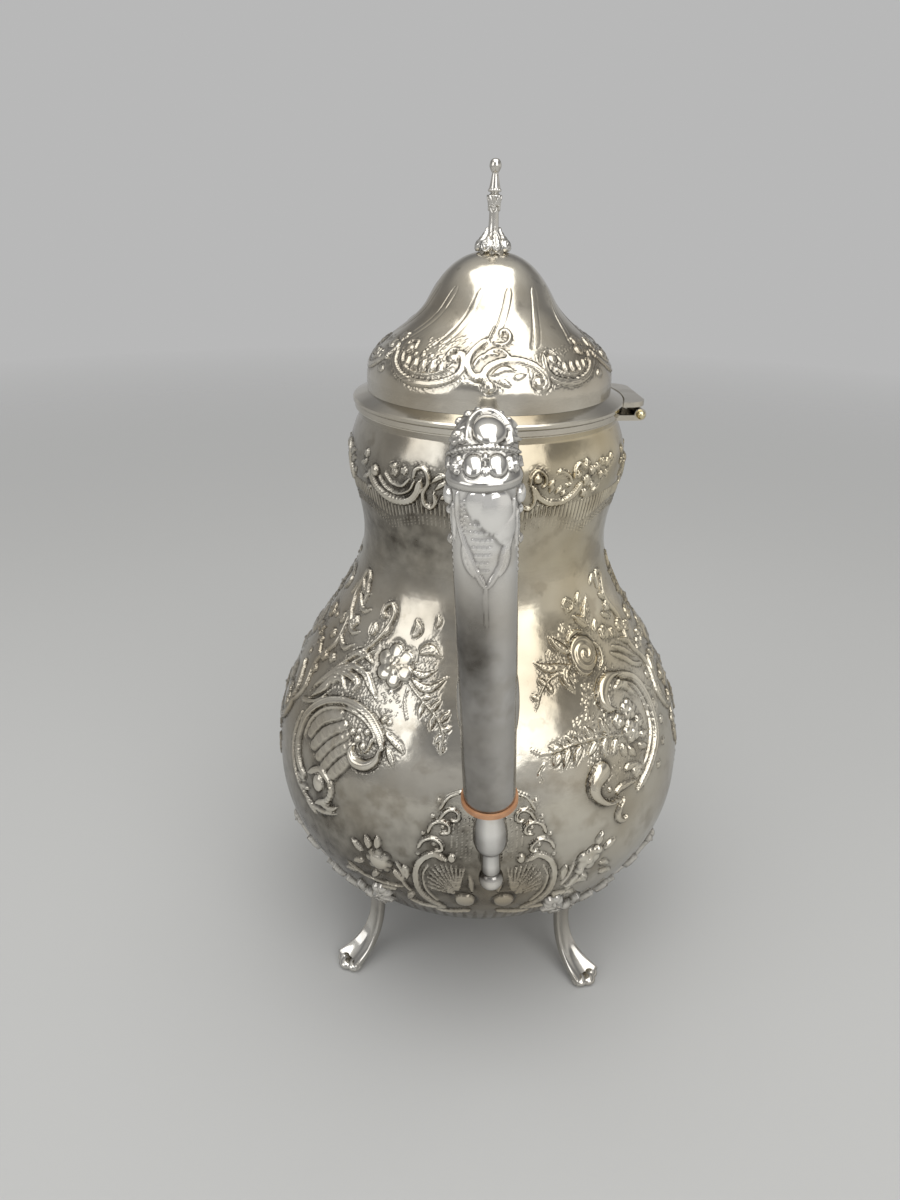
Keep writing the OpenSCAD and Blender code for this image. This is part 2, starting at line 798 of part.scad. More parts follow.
module finial() {
    under = [for (p = backwards(crown_curve)) if (p.x < finial_base_r) [p.x, p.y + 2 * seam]];
    foot = crown_z(finial_base_r) + 2 * seam;
    ball_z = dome_top + finial_h - finial_ball_r;
    neck_r = 0.5 * finial_stem_r;
    color(bright_silver) {
        rotate_extrude()
            polygon(concat(under, [
                [finial_base_r, foot],
                [finial_base_r, foot + 1.6],
                [0.75 * finial_base_r, foot + 3],
                [0.5 * finial_base_r, foot + 5],
                [finial_stem_r, foot + 8],
                [0.85 * finial_stem_r, mix(foot, ball_z, 0.5)],
                [finial_stem_r, mix(foot, ball_z, 0.62)],
                [finial_bud_r, mix(foot, ball_z, 0.7)],
                [0.7 * finial_bud_r, mix(foot, ball_z, 0.72)],
                [0.78 * finial_bud_r, mix(foot, ball_z, 0.75)],
                [neck_r, mix(foot, ball_z, 0.9)],
                [neck_r, ball_z],
                [0, ball_z]
            ]));
        translate([0, 0, ball_z]) sphere(r = finial_ball_r);
        translate([0, 0, seat_z - stud_h])
            cylinder(r = stud_r, h = dome_top - seat_z + stud_h + 1);
    }
}

module finial_washer() {
    color(bright_silver)
        translate([0, 0, seat_z - seam - washer_t])
            difference() {
                cylinder(r = washer_r, h = washer_t);
                translate([0, 0, -1]) cylinder(r = stud_r + seam, h = washer_t + 2);
            }
}

module finial_nut() {
    color(bright_silver)
        translate([0, 0, seat_z - 2 * seam - washer_t - nut_t])
            difference() {
                cylinder(r = nut_r, h = nut_t, $fn = 6);
                translate([0, 0, -1]) cylinder(r = stud_r + seam, h = nut_t + 2);
            }
}

// A pointed leaf of two arcs, from the origin along +X
module leaf_outline(length, width) {
    r = (length * length / 4 + width * width / 4) / width;
    intersection() {
        translate([length / 2, r - width / 2]) circle(r = r);
        translate([length / 2, width / 2 - r]) circle(r = r);
    }
}

// Half of the spray, as seen from outside, in [along the body, up]
module spray_outline() {
    bloom_r = 4.2;
    translate([0.2 * spray_w, 1]) circle(r = bloom_r);
    translate([0.55 * spray_w, 4.5]) circle(r = 0.8 * bloom_r);
    rotate([0, 0, 16]) leaf_outline(spray_w, 6.5);
    translate([0.3 * spray_w, 3]) rotate([0, 0, 50]) leaf_outline(0.45 * spray_w, 5);
    translate([0.35 * spray_w, 2]) rotate([0, 0, -14]) leaf_outline(0.5 * spray_w, 5);
}

// A foot that stands out along +X
module foot() {
    leg_steps = 14;
    toe_t = 3.4;
    lobe_r = 0.3 * toe_w;
    root = [leg_root_r, under_z(leg_root_r) + leg_t];
    line = [
        root,
        [leg_root_r - 2.5, 0.5 * root.y],
        [leg_root_r - 1, 0.16 * root.y],
        [toe_circle_r, toe_t / 2]
    ];
    function edge(side) = [
        for (k = [0 : leg_steps])
            let (t = k / leg_steps, d = curve_dir(line, t))
            curve_at(line, t) + side * leg_t / 2 * [-d.y, d.x]
    ];
    function half_width(t) = mix(leg_w, toe_w, pow(t, 6)) / 2 + 2.2 * pow(1 - t, 5);
    front = [for (k = [0 : leg_steps]) let (t = k / leg_steps) [half_width(t), curve_at(line, t).y]];
    spray_z = under_z(leg_root_r) + 2;
    difference() {
        intersection() {
            union() {
                intersection() {
                    rotate([90, 0, 0])
                        linear_extrude(4 * toe_w, center = true)
                            polygon(concat(edge(1), backwards(edge(-1))));
                    rotate([90, 0, 90])
                        linear_extrude(2 * belly_r)
                            polygon(concat(
                                [for (p = front) p],
                                [[toe_w / 2, 0], [-toe_w / 2, 0]],
                                [for (p = backwards(front)) [-p.x, p.y]]
                            ));
                }
                for (i = [-1, 0, 1])
                    translate([toe_circle_r - 0.35 * abs(i) * lobe_r, i * (toe_w / 2 - lobe_r), toe_t / 2])
                        sphere(r = lobe_r);
            }
            cylinder(r = 2 * belly_r, h = 2 * belly_z);
        }
        body_block(seam);
    }
    under = [for (p = low_curve) if (p.x > 0.5 * leg_root_r) p];
    intersection() {
        rotate([0, 0, 180])
            rotate_extrude()
                polygon(concat(shifted(under, spray_t), backwards(shifted(under, 2 * seam))));
        translate([0, 0, spray_z])
            rotate([90, 0, 90])
                linear_extrude(2 * belly_r)
                    for (side = [0, 1])
                        mirror([side, 0]) spray_outline();
    }
}

module foot_front_left() {
    color(bright_silver) rotate([0, 0, 225 - foot_turn]) foot();
}
module foot_front_right() {
    color(bright_silver) rotate([0, 0, 315 - foot_turn]) foot();
}
module foot_back_left() {
    color(bright_silver) rotate([0, 0, 135 - foot_turn]) foot();
}
module foot_back_right() {
    color(bright_silver) rotate([0, 0, 45 - foot_turn]) foot();
}

body();
mouth_wire();
spout();
strainer();
handle_upper_socket();
handle_upper_insulator();
handle_upper_pin();
handle_grip();
handle_inner_leaf();
handle_lower_insulator();
handle_lower_socket();
lid_dome();
lid_flange();
lid_bezel();
lid_hinge_leaf();
body_hinge_leaf();
hinge_pin();
finial();
finial_washer();
finial_nut();
foot_front_left();
foot_front_right();
foot_back_left();
foot_back_right();
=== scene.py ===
"""Looks of an embossed silver coffee pot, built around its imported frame.

Sizes are in millimetres until a mesh is made. Angles on the pot are in degrees from the
handle's side (-Y) towards +X, and places on the body are (angle, height) pairs.
"""

import logging
import math
from dataclasses import dataclass, field
from enum import Enum
from typing import Callable, Iterable, Optional, Sequence

import bpy
import numpy as np
from mathutils import Matrix, Vector


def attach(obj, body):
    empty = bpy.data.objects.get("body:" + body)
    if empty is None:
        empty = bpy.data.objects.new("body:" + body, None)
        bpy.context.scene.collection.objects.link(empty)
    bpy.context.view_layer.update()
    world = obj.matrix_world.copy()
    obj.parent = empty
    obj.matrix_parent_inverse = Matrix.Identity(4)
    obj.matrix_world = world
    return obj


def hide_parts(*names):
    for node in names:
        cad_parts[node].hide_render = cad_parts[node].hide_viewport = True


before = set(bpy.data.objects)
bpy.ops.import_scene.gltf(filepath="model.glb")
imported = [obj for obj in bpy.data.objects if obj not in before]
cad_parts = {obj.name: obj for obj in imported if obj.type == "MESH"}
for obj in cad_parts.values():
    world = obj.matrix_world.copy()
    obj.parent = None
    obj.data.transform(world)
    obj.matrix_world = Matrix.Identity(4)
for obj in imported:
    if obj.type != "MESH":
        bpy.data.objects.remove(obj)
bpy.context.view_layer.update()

MM = 0.001
Point = tuple[float, float]
log = logging.getLogger("coffee_pot")


def mix(a: float, b: float, t: float) -> float:
    """A value between a and b."""
    return a + (b - a) * t


def smooth_path(points: Sequence[Point], per_span: int = 14) -> np.ndarray:
    """Runs a smooth curve through a few points.

    Args:
        points: The points that the curve passes.
        per_span: How many samples lie between two points.

    Returns:
        The samples as an array of rows.
    """
    p = np.array(points, float)
    p = np.vstack([2 * p[0] - p[1], p, 2 * p[-1] - p[-2]])
    t = np.linspace(0, 1, per_span, endpoint=False)[:, None]
    spans = [
        0.5 * (2 * b + (c - a) * t + (2 * a - 5 * b + 4 * c - d) * t**2 + (3 * b - a - 3 * c + d) * t**3)
        for a, b, c, d in zip(p[:-3], p[1:-2], p[2:-1], p[3:])
    ]
    return np.vstack(spans + [p[-2:-1]])


def bezier(points: Sequence[Point], t: np.ndarray) -> np.ndarray:
    """Points of a cubic curve with four control points, one row for each t."""
    p = np.array(points, float)
    t = np.asarray(t, float)[:, None]
    return (1 - t) ** 3 * p[0] + 3 * t * (1 - t) ** 2 * p[1] + 3 * t**2 * (1 - t) * p[2] + t**3 * p[3]


def bezier_dir(points: Sequence[Point], t: np.ndarray) -> np.ndarray:
    """Unit directions of a cubic curve, one row for each t."""
    p = np.array(points, float)
    t = np.asarray(t, float)[:, None]
    d = (1 - t) ** 2 * (p[1] - p[0]) + 2 * t * (1 - t) * (p[2] - p[1]) + t**2 * (p[3] - p[2])
    return d / np.linalg.norm(d, axis=1, keepdims=True)


def blurred(grid: np.ndarray, sigma: float) -> np.ndarray:
    """A grid softened by a Gaussian of sigma cells, wrapped at its edges."""
    fy = np.fft.fftfreq(grid.shape[0])[:, None]
    fx = np.fft.rfftfreq(grid.shape[1])[None, :]
    soft = np.exp(-2 * (math.pi * sigma) ** 2 * (fx**2 + fy**2))
    return np.fft.irfft2(np.fft.rfft2(grid) * soft, grid.shape)


class Section(Enum):
    """Cross-section of a raised or cut line."""

    RIDGE = "ridge"
    BAND = "band"
    LEAF = "leaf"
    CORD = "cord"
    CUT = "cut"

    def shape(self, q: np.ndarray, t: np.ndarray) -> np.ndarray:
        """Height across a line.

        Args:
            q: Distance from the line's middle over its half width.
            t: Place along the line, from 0 to 1.

        Returns:
            Heights from 0 to 1, or below 0 for a cut.
        """
        inside = np.clip(1 - q * q, 0, 1)
        if self is Section.BAND:
            lips = 0.62 + 0.38 * np.clip(q, 0, 1) ** 2 - 0.18 * np.exp(-((q - 0.35) / 0.12) ** 2)
            return lips * np.clip((1 - q) / 0.28, 0, 1) ** 0.6
        if self is Section.LEAF:
            vein = 1 - 0.5 * np.exp(-((q / 0.14) ** 2)) - 0.16 * (0.5 + 0.5 * np.cos(40 * t - 7 * q))
            return inside**0.7 * vein
        if self is Section.CORD:
            return np.sqrt(inside) * (0.84 + 0.16 * np.cos(30 * t))
        if self is Section.CUT:
            return -inside
        return np.sqrt(inside)


class Taper(Enum):
    """How a line's width runs along it."""

    EVEN = "even"
    LEAF = "leaf"
    COMMA = "comma"
    CRESCENT = "crescent"

    def width(self, t: np.ndarray) -> np.ndarray:
        """Width at places t along the line, as a share of the full width."""
        if self is Taper.LEAF:
            return np.clip(np.sin(math.pi * t**0.8), 0.02, 1)
        if self is Taper.COMMA:
            return np.clip(1 - 0.9 * t, 0.05, 1)
        if self is Taper.CRESCENT:
            return np.clip(np.sin(math.pi * t), 0.12, 1) ** 0.8
        return np.clip(8 * np.minimum(t, 1 - t) + 0.5, 0, 1)


class Profile:
    """Outline of a turned form, as radius and height along its length."""

    def __init__(self, outline: np.ndarray) -> None:
        """Stores an outline of (radius, height) rows that runs upwards."""
        self.outline = np.asarray(outline, float)
        steps = np.hypot(*np.diff(self.outline, axis=0).T)
        self.lengths = np.concatenate([[0], np.cumsum(steps)])
        self.total = float(self.lengths[-1])

    def at(self, s: np.ndarray) -> tuple[np.ndarray, np.ndarray]:
        """Radius and height at lengths s."""
        r = np.interp(s, self.lengths, self.outline[:, 0])
        return r, np.interp(s, self.lengths, self.outline[:, 1])

    def length_at(self, height: float) -> float:
        """Length at which the outline reaches a height."""
        return float(np.interp(height, self.outline[:, 1], self.lengths))

    def normals(self, s: np.ndarray) -> tuple[np.ndarray, np.ndarray]:
        """Outward direction at lengths s, as shares of radius and height."""
        reach = 0.6
        r0, z0 = self.at(np.clip(s - reach, 0, self.total))
        r1, z1 = self.at(np.clip(s + reach, 0, self.total))
        size = np.hypot(r1 - r0, z1 - z0)
        return (z1 - z0) / size, -(r1 - r0) / size


class Relief:
    """Embossing on a turned form, as heights over angle and length."""

    def __init__(self, profile: Profile, columns: int, step: float, by_height: bool = True) -> None:
        """Starts flat.

        Args:
            profile: The form that is embossed.
            columns: Cells round the form.
            step: Length of a cell along the outline.
            by_height: True where places are given as (angle, height), not (angle, length).
        """
        self.profile = profile
        self.by_height = by_height
        self.columns = columns
        self.step = step
        self.lengths = np.arange(0, profile.total + step, step)
        self.radii = np.maximum(profile.at(self.lengths)[0], 0.5)
        self.height = np.zeros((len(self.lengths), columns), np.float32)
        self.chased = np.zeros_like(self.height)
        self.turns: Sequence[float] = (0.0,)
        self.mirror_about: Optional[float] = None

    def _place(self, point: Point) -> Point:
        """A place as (angle, length)."""
        return (point[0], self.profile.length_at(point[1]) if self.by_height else point[1])

    def _window(self, middle: Point, reach: float,
                half_angle: float = 0.0) -> tuple[np.ndarray, int, np.ndarray, np.ndarray]:
        """The cells round a place.

        Args:
            middle: The place as (angle, length).
            reach: Distance to cover along the outline.
            half_angle: Angle to cover on each side, on top of the reach.

        Returns:
            Rows, first column, and the cells' places across and along in millimetres.
        """
        a, s = middle
        rows = np.arange(max(0, int((s - reach) / self.step)),
                         min(len(self.lengths), int((s + reach) / self.step) + 2))
        radii = self.radii[rows]
        cell = 360 / self.columns
        half = half_angle + math.degrees(reach / radii.min())
        count = min(int(2 * half / cell) + 2, self.columns)
        first = int(round((a - half + 180) / cell))
        angles = (first + np.arange(count)) * cell - 180 - a
        across = np.radians(angles)[None, :] * radii[:, None]
        along = np.repeat((self.lengths[rows] - s)[:, None], count, 1)
        return rows, first, across, along

    def _press(self, rows: np.ndarray, first: int, raised: np.ndarray, edge: np.ndarray,
               cut: bool = False) -> None:
        """Presses a patch into the sheet at every turn of the pattern."""
        cell = 360 / self.columns
        for turn in self.turns:
            cells = np.ix_(rows,
                           (first + int(round(turn / cell)) + np.arange(raised.shape[1])) % self.columns)
            old = self.height[cells]
            self.height[cells] = old + raised if cut else np.where(raised > 0, np.maximum(old, raised), old)
            self.chased[cells] = np.maximum(self.chased[cells], edge)

    def _both_sides(self, points: Sequence[Point]) -> Iterable[Sequence[Point]]:
        """The points, and their mirror image where the pattern is mirrored."""
        yield points
        if self.mirror_about is not None:
            yield [(2 * self.mirror_about - a, b) for a, b in points]

    def line(self, points: Sequence[Point], width: float, height: float,
             section: Section = Section.RIDGE, taper: Taper = Taper.EVEN) -> None:
        """Raises or cuts a line through a few places.

        Args:
            points: Places that the line passes.
            width: Half width in millimetres.
            height: Height of its middle or lips.
            section: Its cross-section.
            taper: How its width runs.
        """
        for side in self._both_sides(points):
            path = smooth_path([self._place(p) for p in side])
            lo, hi = path.min(0), path.max(0)
            middle = (lo + hi) / 2
            reach = float(hi[1] - lo[1]) / 2 + 1.5 * width + 0.5
            rows, first, across, along = self._window(tuple(middle), reach, float(hi[0] - lo[0]) / 2)
            radii = np.interp(path[:, 1], self.lengths, self.radii)
            px = np.radians(path[:, 0] - middle[0]) * radii
            py = path[:, 1] - middle[1]
            places = np.linspace(0, 1, len(path))
            widths = width * taper.width(places)
            best = np.full(across.shape, 1e9)
            near = np.zeros(across.shape)
            for x, y, t, w in zip(px, py, places, widths):
                q = ((across - x) ** 2 + (along - y) ** 2) / (w * w)
                closer = q < best
                best[closer] = q[closer]
                near[closer] = t
            q = np.sqrt(best)
            edge = np.exp(-(((q - 1.12) / 0.2) ** 2)) if section is not Section.CUT else np.zeros_like(q)
            self._press(rows, first, height * section.shape(q, near), edge * min(1, 2 * height),
                        section is Section.CUT)

    def leaf(self, *points: Point, width: float = 1.8, height: float = 1.1) -> None:
        """Raises a veined leaf along two or three places."""
        path = list(points)
        if len(path) == 2:
            path.insert(1, tuple((np.array(path[0]) + np.array(path[1])) / 2))
        self.line(path, width, height, Section.LEAF, Taper.LEAF)

    def bead(self, place: Point, r: float, height: Optional[float] = None, stretch: float = 1.0) -> None:
        """Raises a round or oval bead.

        Args:
            place: Its middle.
            r: Its half width.
            height: Its height, or None for most of its half width.
            stretch: Its length over its width.
        """
        top = 0.62 * r if height is None else height
        for (side,) in self._both_sides([place]):
            rows, first, across, along = self._window(self._place(side), 1.6 * r * max(1, stretch))
            q = np.hypot(across / r, along / (r * stretch))
            edge = np.exp(-(((q - 1.12) / 0.16) ** 2)) * min(1, 2 * top)
            self._press(rows, first, top * np.sqrt(np.clip(1 - q * q, 0, 1)), edge)

    def flower(self, place: Point, r: float, petals: int = 5, height: float = 1.3,
               turn: float = 0.0) -> None:
        """Raises an open flower with a bead in its middle."""
        for (side,) in self._both_sides([place]):
            rows, first, across, along = self._window(self._place(side), 1.5 * r)
            phi = np.arctan2(along, across) + turn
            lobe = np.abs(np.cos(petals * phi / 2))
            q = np.hypot(across, along) / (r * (0.72 + 0.28 * lobe**0.6))
            cup = (np.sqrt(np.clip(1 - q * q, 0, 1)) * (0.55 + 0.45 * lobe**0.5)
                   * (0.6 + 0.4 * np.clip(q, 0, 1)))
            eye = np.sqrt(np.clip(1 - (q / 0.3) ** 2, 0, 1))
            edge = np.exp(-(((q - 1.1) / 0.14) ** 2))
            self._press(rows, first, height * np.maximum(cup, 0.95 * eye), edge)

    def rose(self, place: Point, r: float, height: float = 1.6) -> None:
        """Raises a rose whose petals wind round its heart."""
        for (side,) in self._both_sides([place]):
            rows, first, across, along = self._window(self._place(side), 1.4 * r)
            phi = np.arctan2(along, across)
            q = np.hypot(across, along * 0.9) / r
            wind = 0.5 + 0.5 * np.cos(2 * math.pi * (2.6 * q - phi / (2 * math.pi)))
            dome = np.sqrt(np.clip(1 - q * q, 0, 1))
            edge = np.exp(-(((q - 1.08) / 0.12) ** 2))
            self._press(rows, first, height * dome * (0.6 + 0.4 * wind**1.5), edge)

    def _point(self, place: Sequence[float]) -> Point:
        """An (angle, length) place as it is written in a drawing."""
        return (float(place[0]), float(self.profile.at(place[1])[1]) if self.by_height else float(place[1]))

    def sprig(self, points: Sequence[Point], pairs: int, size: float, width: float = 0.8,
              height: float = 0.8, lean: float = 46.0) -> None:
        """Raises a thin stem with pairs of small leaves that point along it.

        Args:
            points: Places that the stem passes.
            pairs: Number of pairs.
            size: Length of the first leaves.
            width: Half width of a leaf.
            height: Height of a leaf.
            lean: Angle between a leaf and the stem.
        """
        self.line(points, 0.4, 0.8 * height)
        path = smooth_path([self._place(p) for p in points])
        for k in range(pairs):
            t = (k + 0.7) / (pairs + 0.2)
            here, ahead = path[int(t * (len(path) - 2))], path[int(t * (len(path) - 2)) + 1]
            radius = float(np.interp(here[1], self.lengths, self.radii))
            run = math.atan2(ahead[1] - here[1], math.radians(ahead[0] - here[0]) * radius)
            for side in (-1, 1):
                way, reach = run + side * math.radians(lean), size * (1 - 0.4 * t)
                tip = (here[0] + math.degrees(reach * math.cos(way) / radius),
                       here[1] + reach * math.sin(way))
                self.leaf(self._point(here), self._point(tip), width=width, height=height)
        self.leaf(self._point(path[-6]), self._point(path[-1] + 0.5 * (path[-1] - path[-12])),
                  width=width, height=height)

    def dots(self, start: Point, end: Point, count: int, r: float = 0.32, height: float = 0.3) -> None:
        """Punches a row of small beads between two places."""
        for t in np.linspace(0, 1, count):
            self.bead((mix(start[0], end[0], t), mix(start[1], end[1], t)), r, height)

    def matting(self, middle: Point, half: Point, pitch: float, seed: int, r: float = 0.36) -> None:
        """Scatters fine punched beads over an oval patch.

        Args:
            middle: The patch's middle.
            half: Its half size in degrees and in height or length.
            pitch: Mean distance between beads.
            seed: Seed of the scatter.
            r: Radius of one bead.
        """
        rng = np.random.default_rng(seed)
        radius = float(np.interp(self._place(middle)[1], self.lengths, self.radii))
        count = int(math.pi * math.radians(half[0]) * radius * half[1] / pitch**2)
        for _ in range(count):
            rho, phi = math.sqrt(rng.random()), rng.random() * 2 * math.pi
            place = (middle[0] + half[0] * rho * math.cos(phi), middle[1] + half[1] * rho * math.sin(phi))
            self.bead(place, r * rng.uniform(0.8, 1.2), 0.8 * r)

    def finish(self, chase_depth: float, depth: float = 1.0) -> None:
        """Chases the outlines in and works out how much tarnishing and painted shade darken the hollows.

        Args:
            chase_depth: Depth of the chased outlines.
            depth: Share of the drawn heights that is kept.
        """
        low = np.clip(1 - self.height / 0.35, 0, 1)
        around = (np.maximum(blurred(self.height, 5) - self.height, 0)
                  + 0.5 * np.maximum(blurred(self.height, 16) - self.height, 0))
        self.shade_and_tarnish_mask = np.clip(0.9 * around + 0.3 * self.chased * low, 0, 1)
        near = blurred((self.height > 0.3).astype(float), 9)
        self.matted = np.clip((near - 0.1) / 0.25, 0, 1) * low
        self.height = (depth * self.height - chase_depth * self.chased * low).astype(np.float32)

    def sample(self, grid: np.ndarray, angles: np.ndarray, lengths: np.ndarray) -> np.ndarray:
        """Values of one of the grids at every angle and length."""
        x = ((angles + 180) / 360 * self.columns) % self.columns
        y = np.clip(lengths / self.step, 0, len(self.lengths) - 1.001)
        x0, y0 = np.floor(x).astype(int), np.floor(y).astype(int)
        fx, fy = (x - x0)[None, :], (y - y0)[:, None]
        x1 = (x0 + 1) % self.columns
        top = grid[y0][:, x0] * (1 - fx) + grid[y0][:, x1] * fx
        low = grid[y0 + 1][:, x0] * (1 - fx) + grid[y0 + 1][:, x1] * fx
        return top * (1 - fy) + low * fy


def make_piece(name: str, points: np.ndarray, faces: list, normals: Optional[np.ndarray] = None,
               shade_and_tarnish_mask: Optional[np.ndarray] = None, matted: Optional[np.ndarray] = None,
               straw: Optional[np.ndarray] = None) -> bpy.types.Object:
    """Makes a smooth mesh object.

    Args:
        name: Name of the object.
        points: Vertices in millimetres, one per row.
        faces: Lists of vertex numbers.
        normals: Shading normals, one per vertex.
        shade_and_tarnish_mask: How much tarnishing and painted shade darken each vertex, from 0 to 1.
        matted: How much of the fine matting each vertex shows, from 0 to 1.
        straw: How yellow the silver has turned at each vertex, from 0 to 1.

    Returns:
        The new object.
    """
    mesh = bpy.data.meshes.new(name)
    mesh.from_pydata((points * MM).tolist(), [], faces)
    mesh.polygons.foreach_set("use_smooth", np.ones(len(mesh.polygons), bool))
    for label, given in (("shade_and_tarnish_mask", shade_and_tarnish_mask), ("matted", matted), ("straw", straw)):
        values = np.zeros(len(points)) if given is None else given.reshape(-1)
        mesh.attributes.new(label, "FLOAT", "POINT").data.foreach_set("value", values.astype(np.float32))
    if normals is not None:
        mesh.normals_split_custom_set_from_vertices(normals.tolist())
    mesh.validate()
    piece = bpy.data.objects.new(name, mesh)
    bpy.context.scene.collection.objects.link(piece)
    return piece


def grid_faces(rows: int, cols: int, wrapped: bool, keep: Optional[np.ndarray] = None,
               start: int = 0) -> list:
    """Quads between neighbouring points of a grid.

    Args:
        rows: Number of rows.
        cols: Number of columns.
        wrapped: True where the last column meets the first.
        keep: Which quads to keep, as an array of truth values.
        start: Number of the grid's first vertex.

    Returns:
        Lists of four vertex numbers.
    """
    j, i = np.meshgrid(np.arange(rows - 1), np.arange(cols if wrapped else cols - 1), indexing="ij")
    k = (i + 1) % cols
    quads = np.stack([j * cols + i, j * cols + k, (j + 1) * cols + k, (j + 1) * cols + i], -1) + start
    return (quads if keep is None else quads[keep]).reshape(-1, 4).tolist()


def grid_normals(points: np.ndarray) -> np.ndarray:
    """Normals of a grid that wraps from its last column to its first."""
    across = np.roll(points, -1, 1) - np.roll(points, 1, 1)
    along = np.gradient(points, axis=0)
    n = np.cross(across, along)
    return n / np.maximum(np.linalg.norm(n, axis=2, keepdims=True), 1e-12)


class Gathered:
    """Grids of points gathered into one piece."""

    def __init__(self) -> None:
        """Starts empty."""
        self.points: list[np.ndarray] = []
        self.shade_and_tarnish_mask: list[np.ndarray] = []
        self.faces: list[list[int]] = []
        self.count = 0

    def _take(self, points: np.ndarray, shade_and_tarnish_mask: np.ndarray) -> int:
        """Adds points and returns the number of the first."""
        start = self.count
        self.points.append(points.reshape(-1, 3))
        self.shade_and_tarnish_mask.append(shade_and_tarnish_mask.reshape(-1))
        self.count += len(self.points[-1])
        return start

    def tube(self, rings: np.ndarray, shade_and_tarnish_mask: Optional[np.ndarray] = None,
             closed: bool = True) -> "Gathered":
        """Adds a tube of rings that faces outward, with its ends filled where it is closed."""
        values = np.zeros(rings.shape[:2]) if shade_and_tarnish_mask is None else shade_and_tarnish_mask
        if np.sum(grid_normals(rings) * (rings - rings.mean(1, keepdims=True))) < 0:
            rings, values = rings[:, ::-1], values[:, ::-1]
        rows, cols = rings.shape[:2]
        start = self._take(rings, values)
        self.faces += grid_faces(rows, cols, True, None, start)
        if closed:
            hub = self._take(np.stack([rings[0].mean(0), rings[-1].mean(0)]), np.zeros(2))
            last = start + (rows - 1) * cols
            for i in range(cols):
                k = (i + 1) % cols
                self.faces += [[hub, start + k, start + i], [hub + 1, last + i, last + k]]
        return self

    def patch(self, grid: np.ndarray, shade_and_tarnish_mask: np.ndarray, keep: np.ndarray) -> "Gathered":
        """Adds an open patch and leaves out the quads that aren't kept."""
        start = self._take(grid, shade_and_tarnish_mask)
        self.faces += grid_faces(*grid.shape[:2], False, keep, start)
        return self

    def piece(self, name: str) -> bpy.types.Object:
        """Makes the piece."""
        return make_piece(name, np.vstack(self.points), self.faces, None, np.concatenate(self.shade_and_tarnish_mask))


class Nodes:
    """Short way to place and join shader nodes."""

    def __init__(self, tree: bpy.types.NodeTree) -> None:
        """Works on an empty tree."""
        self.tree = tree
        tree.nodes.clear()

    def add(self, kind: str, **inputs: object) -> bpy.types.Node:
        """Adds a node and sets or joins its inputs by name, with spaces written as underscores."""
        node = self.tree.nodes.new("ShaderNode" + kind)
        for key, value in inputs.items():
            self.put(node, key.replace("_", " "), value)
        return node

    def put(self, node: bpy.types.Node, key: object, value: object) -> None:
        """Joins a socket to an input, or sets the input's value."""
        if isinstance(value, bpy.types.NodeSocket):
            self.tree.links.new(value, node.inputs[key])
        else:
            node.inputs[key].default_value = value

    def math(self, operation: str, a: object, b: object = 0.0, clamp: bool = False) -> bpy.types.NodeSocket:
        """Result of a sum on two values."""
        node = self.tree.nodes.new("ShaderNodeMath")
        node.operation, node.use_clamp = operation, clamp
        self.put(node, 0, a)
        self.put(node, 1, b)
        return node.outputs[0]

    def blend(self, factor: object, a: object, b: object) -> bpy.types.NodeSocket:
        """A colour between two colours."""
        node = self.tree.nodes.new("ShaderNodeMix")
        node.data_type = "RGBA"
        for key, value in ((0, factor), (6, a), (7, b)):
            self.put(node, key, value)
        return node.outputs[2]

    def noise(self, where: object, scale: object, detail: float = 4.0) -> bpy.types.NodeSocket:
        """Cloudy values at a place."""
        node = self.tree.nodes.new("ShaderNodeTexNoise")
        for key, value in (("Vector", where), ("Scale", scale), ("Detail", detail)):
            self.put(node, key, value)
        return node.outputs[0]

    def span(self, value: object, low: float, high: float, to_low: float = 0.0,
             to_high: float = 1.0) -> bpy.types.NodeSocket:
        """A value's place between two limits, set out between two others."""
        node = self.tree.nodes.new("ShaderNodeMapRange")
        for key, number in ((0, value), (1, low), (2, high), (3, to_low), (4, to_high)):
            self.put(node, key, number)
        return node.outputs[0]


def new_group(name: str, inputs: Sequence[tuple[str, str]],
              outputs: Sequence[tuple[str, str]]) -> bpy.types.NodeTree:
    """An empty shader node group with named sockets."""
    group = bpy.data.node_groups.new(name, "ShaderNodeTree")
    for way, sockets in (("INPUT", inputs), ("OUTPUT", outputs)):
        for label, kind in sockets:
            group.interface.new_socket(label, in_out=way, socket_type="NodeSocket" + kind)
    return group


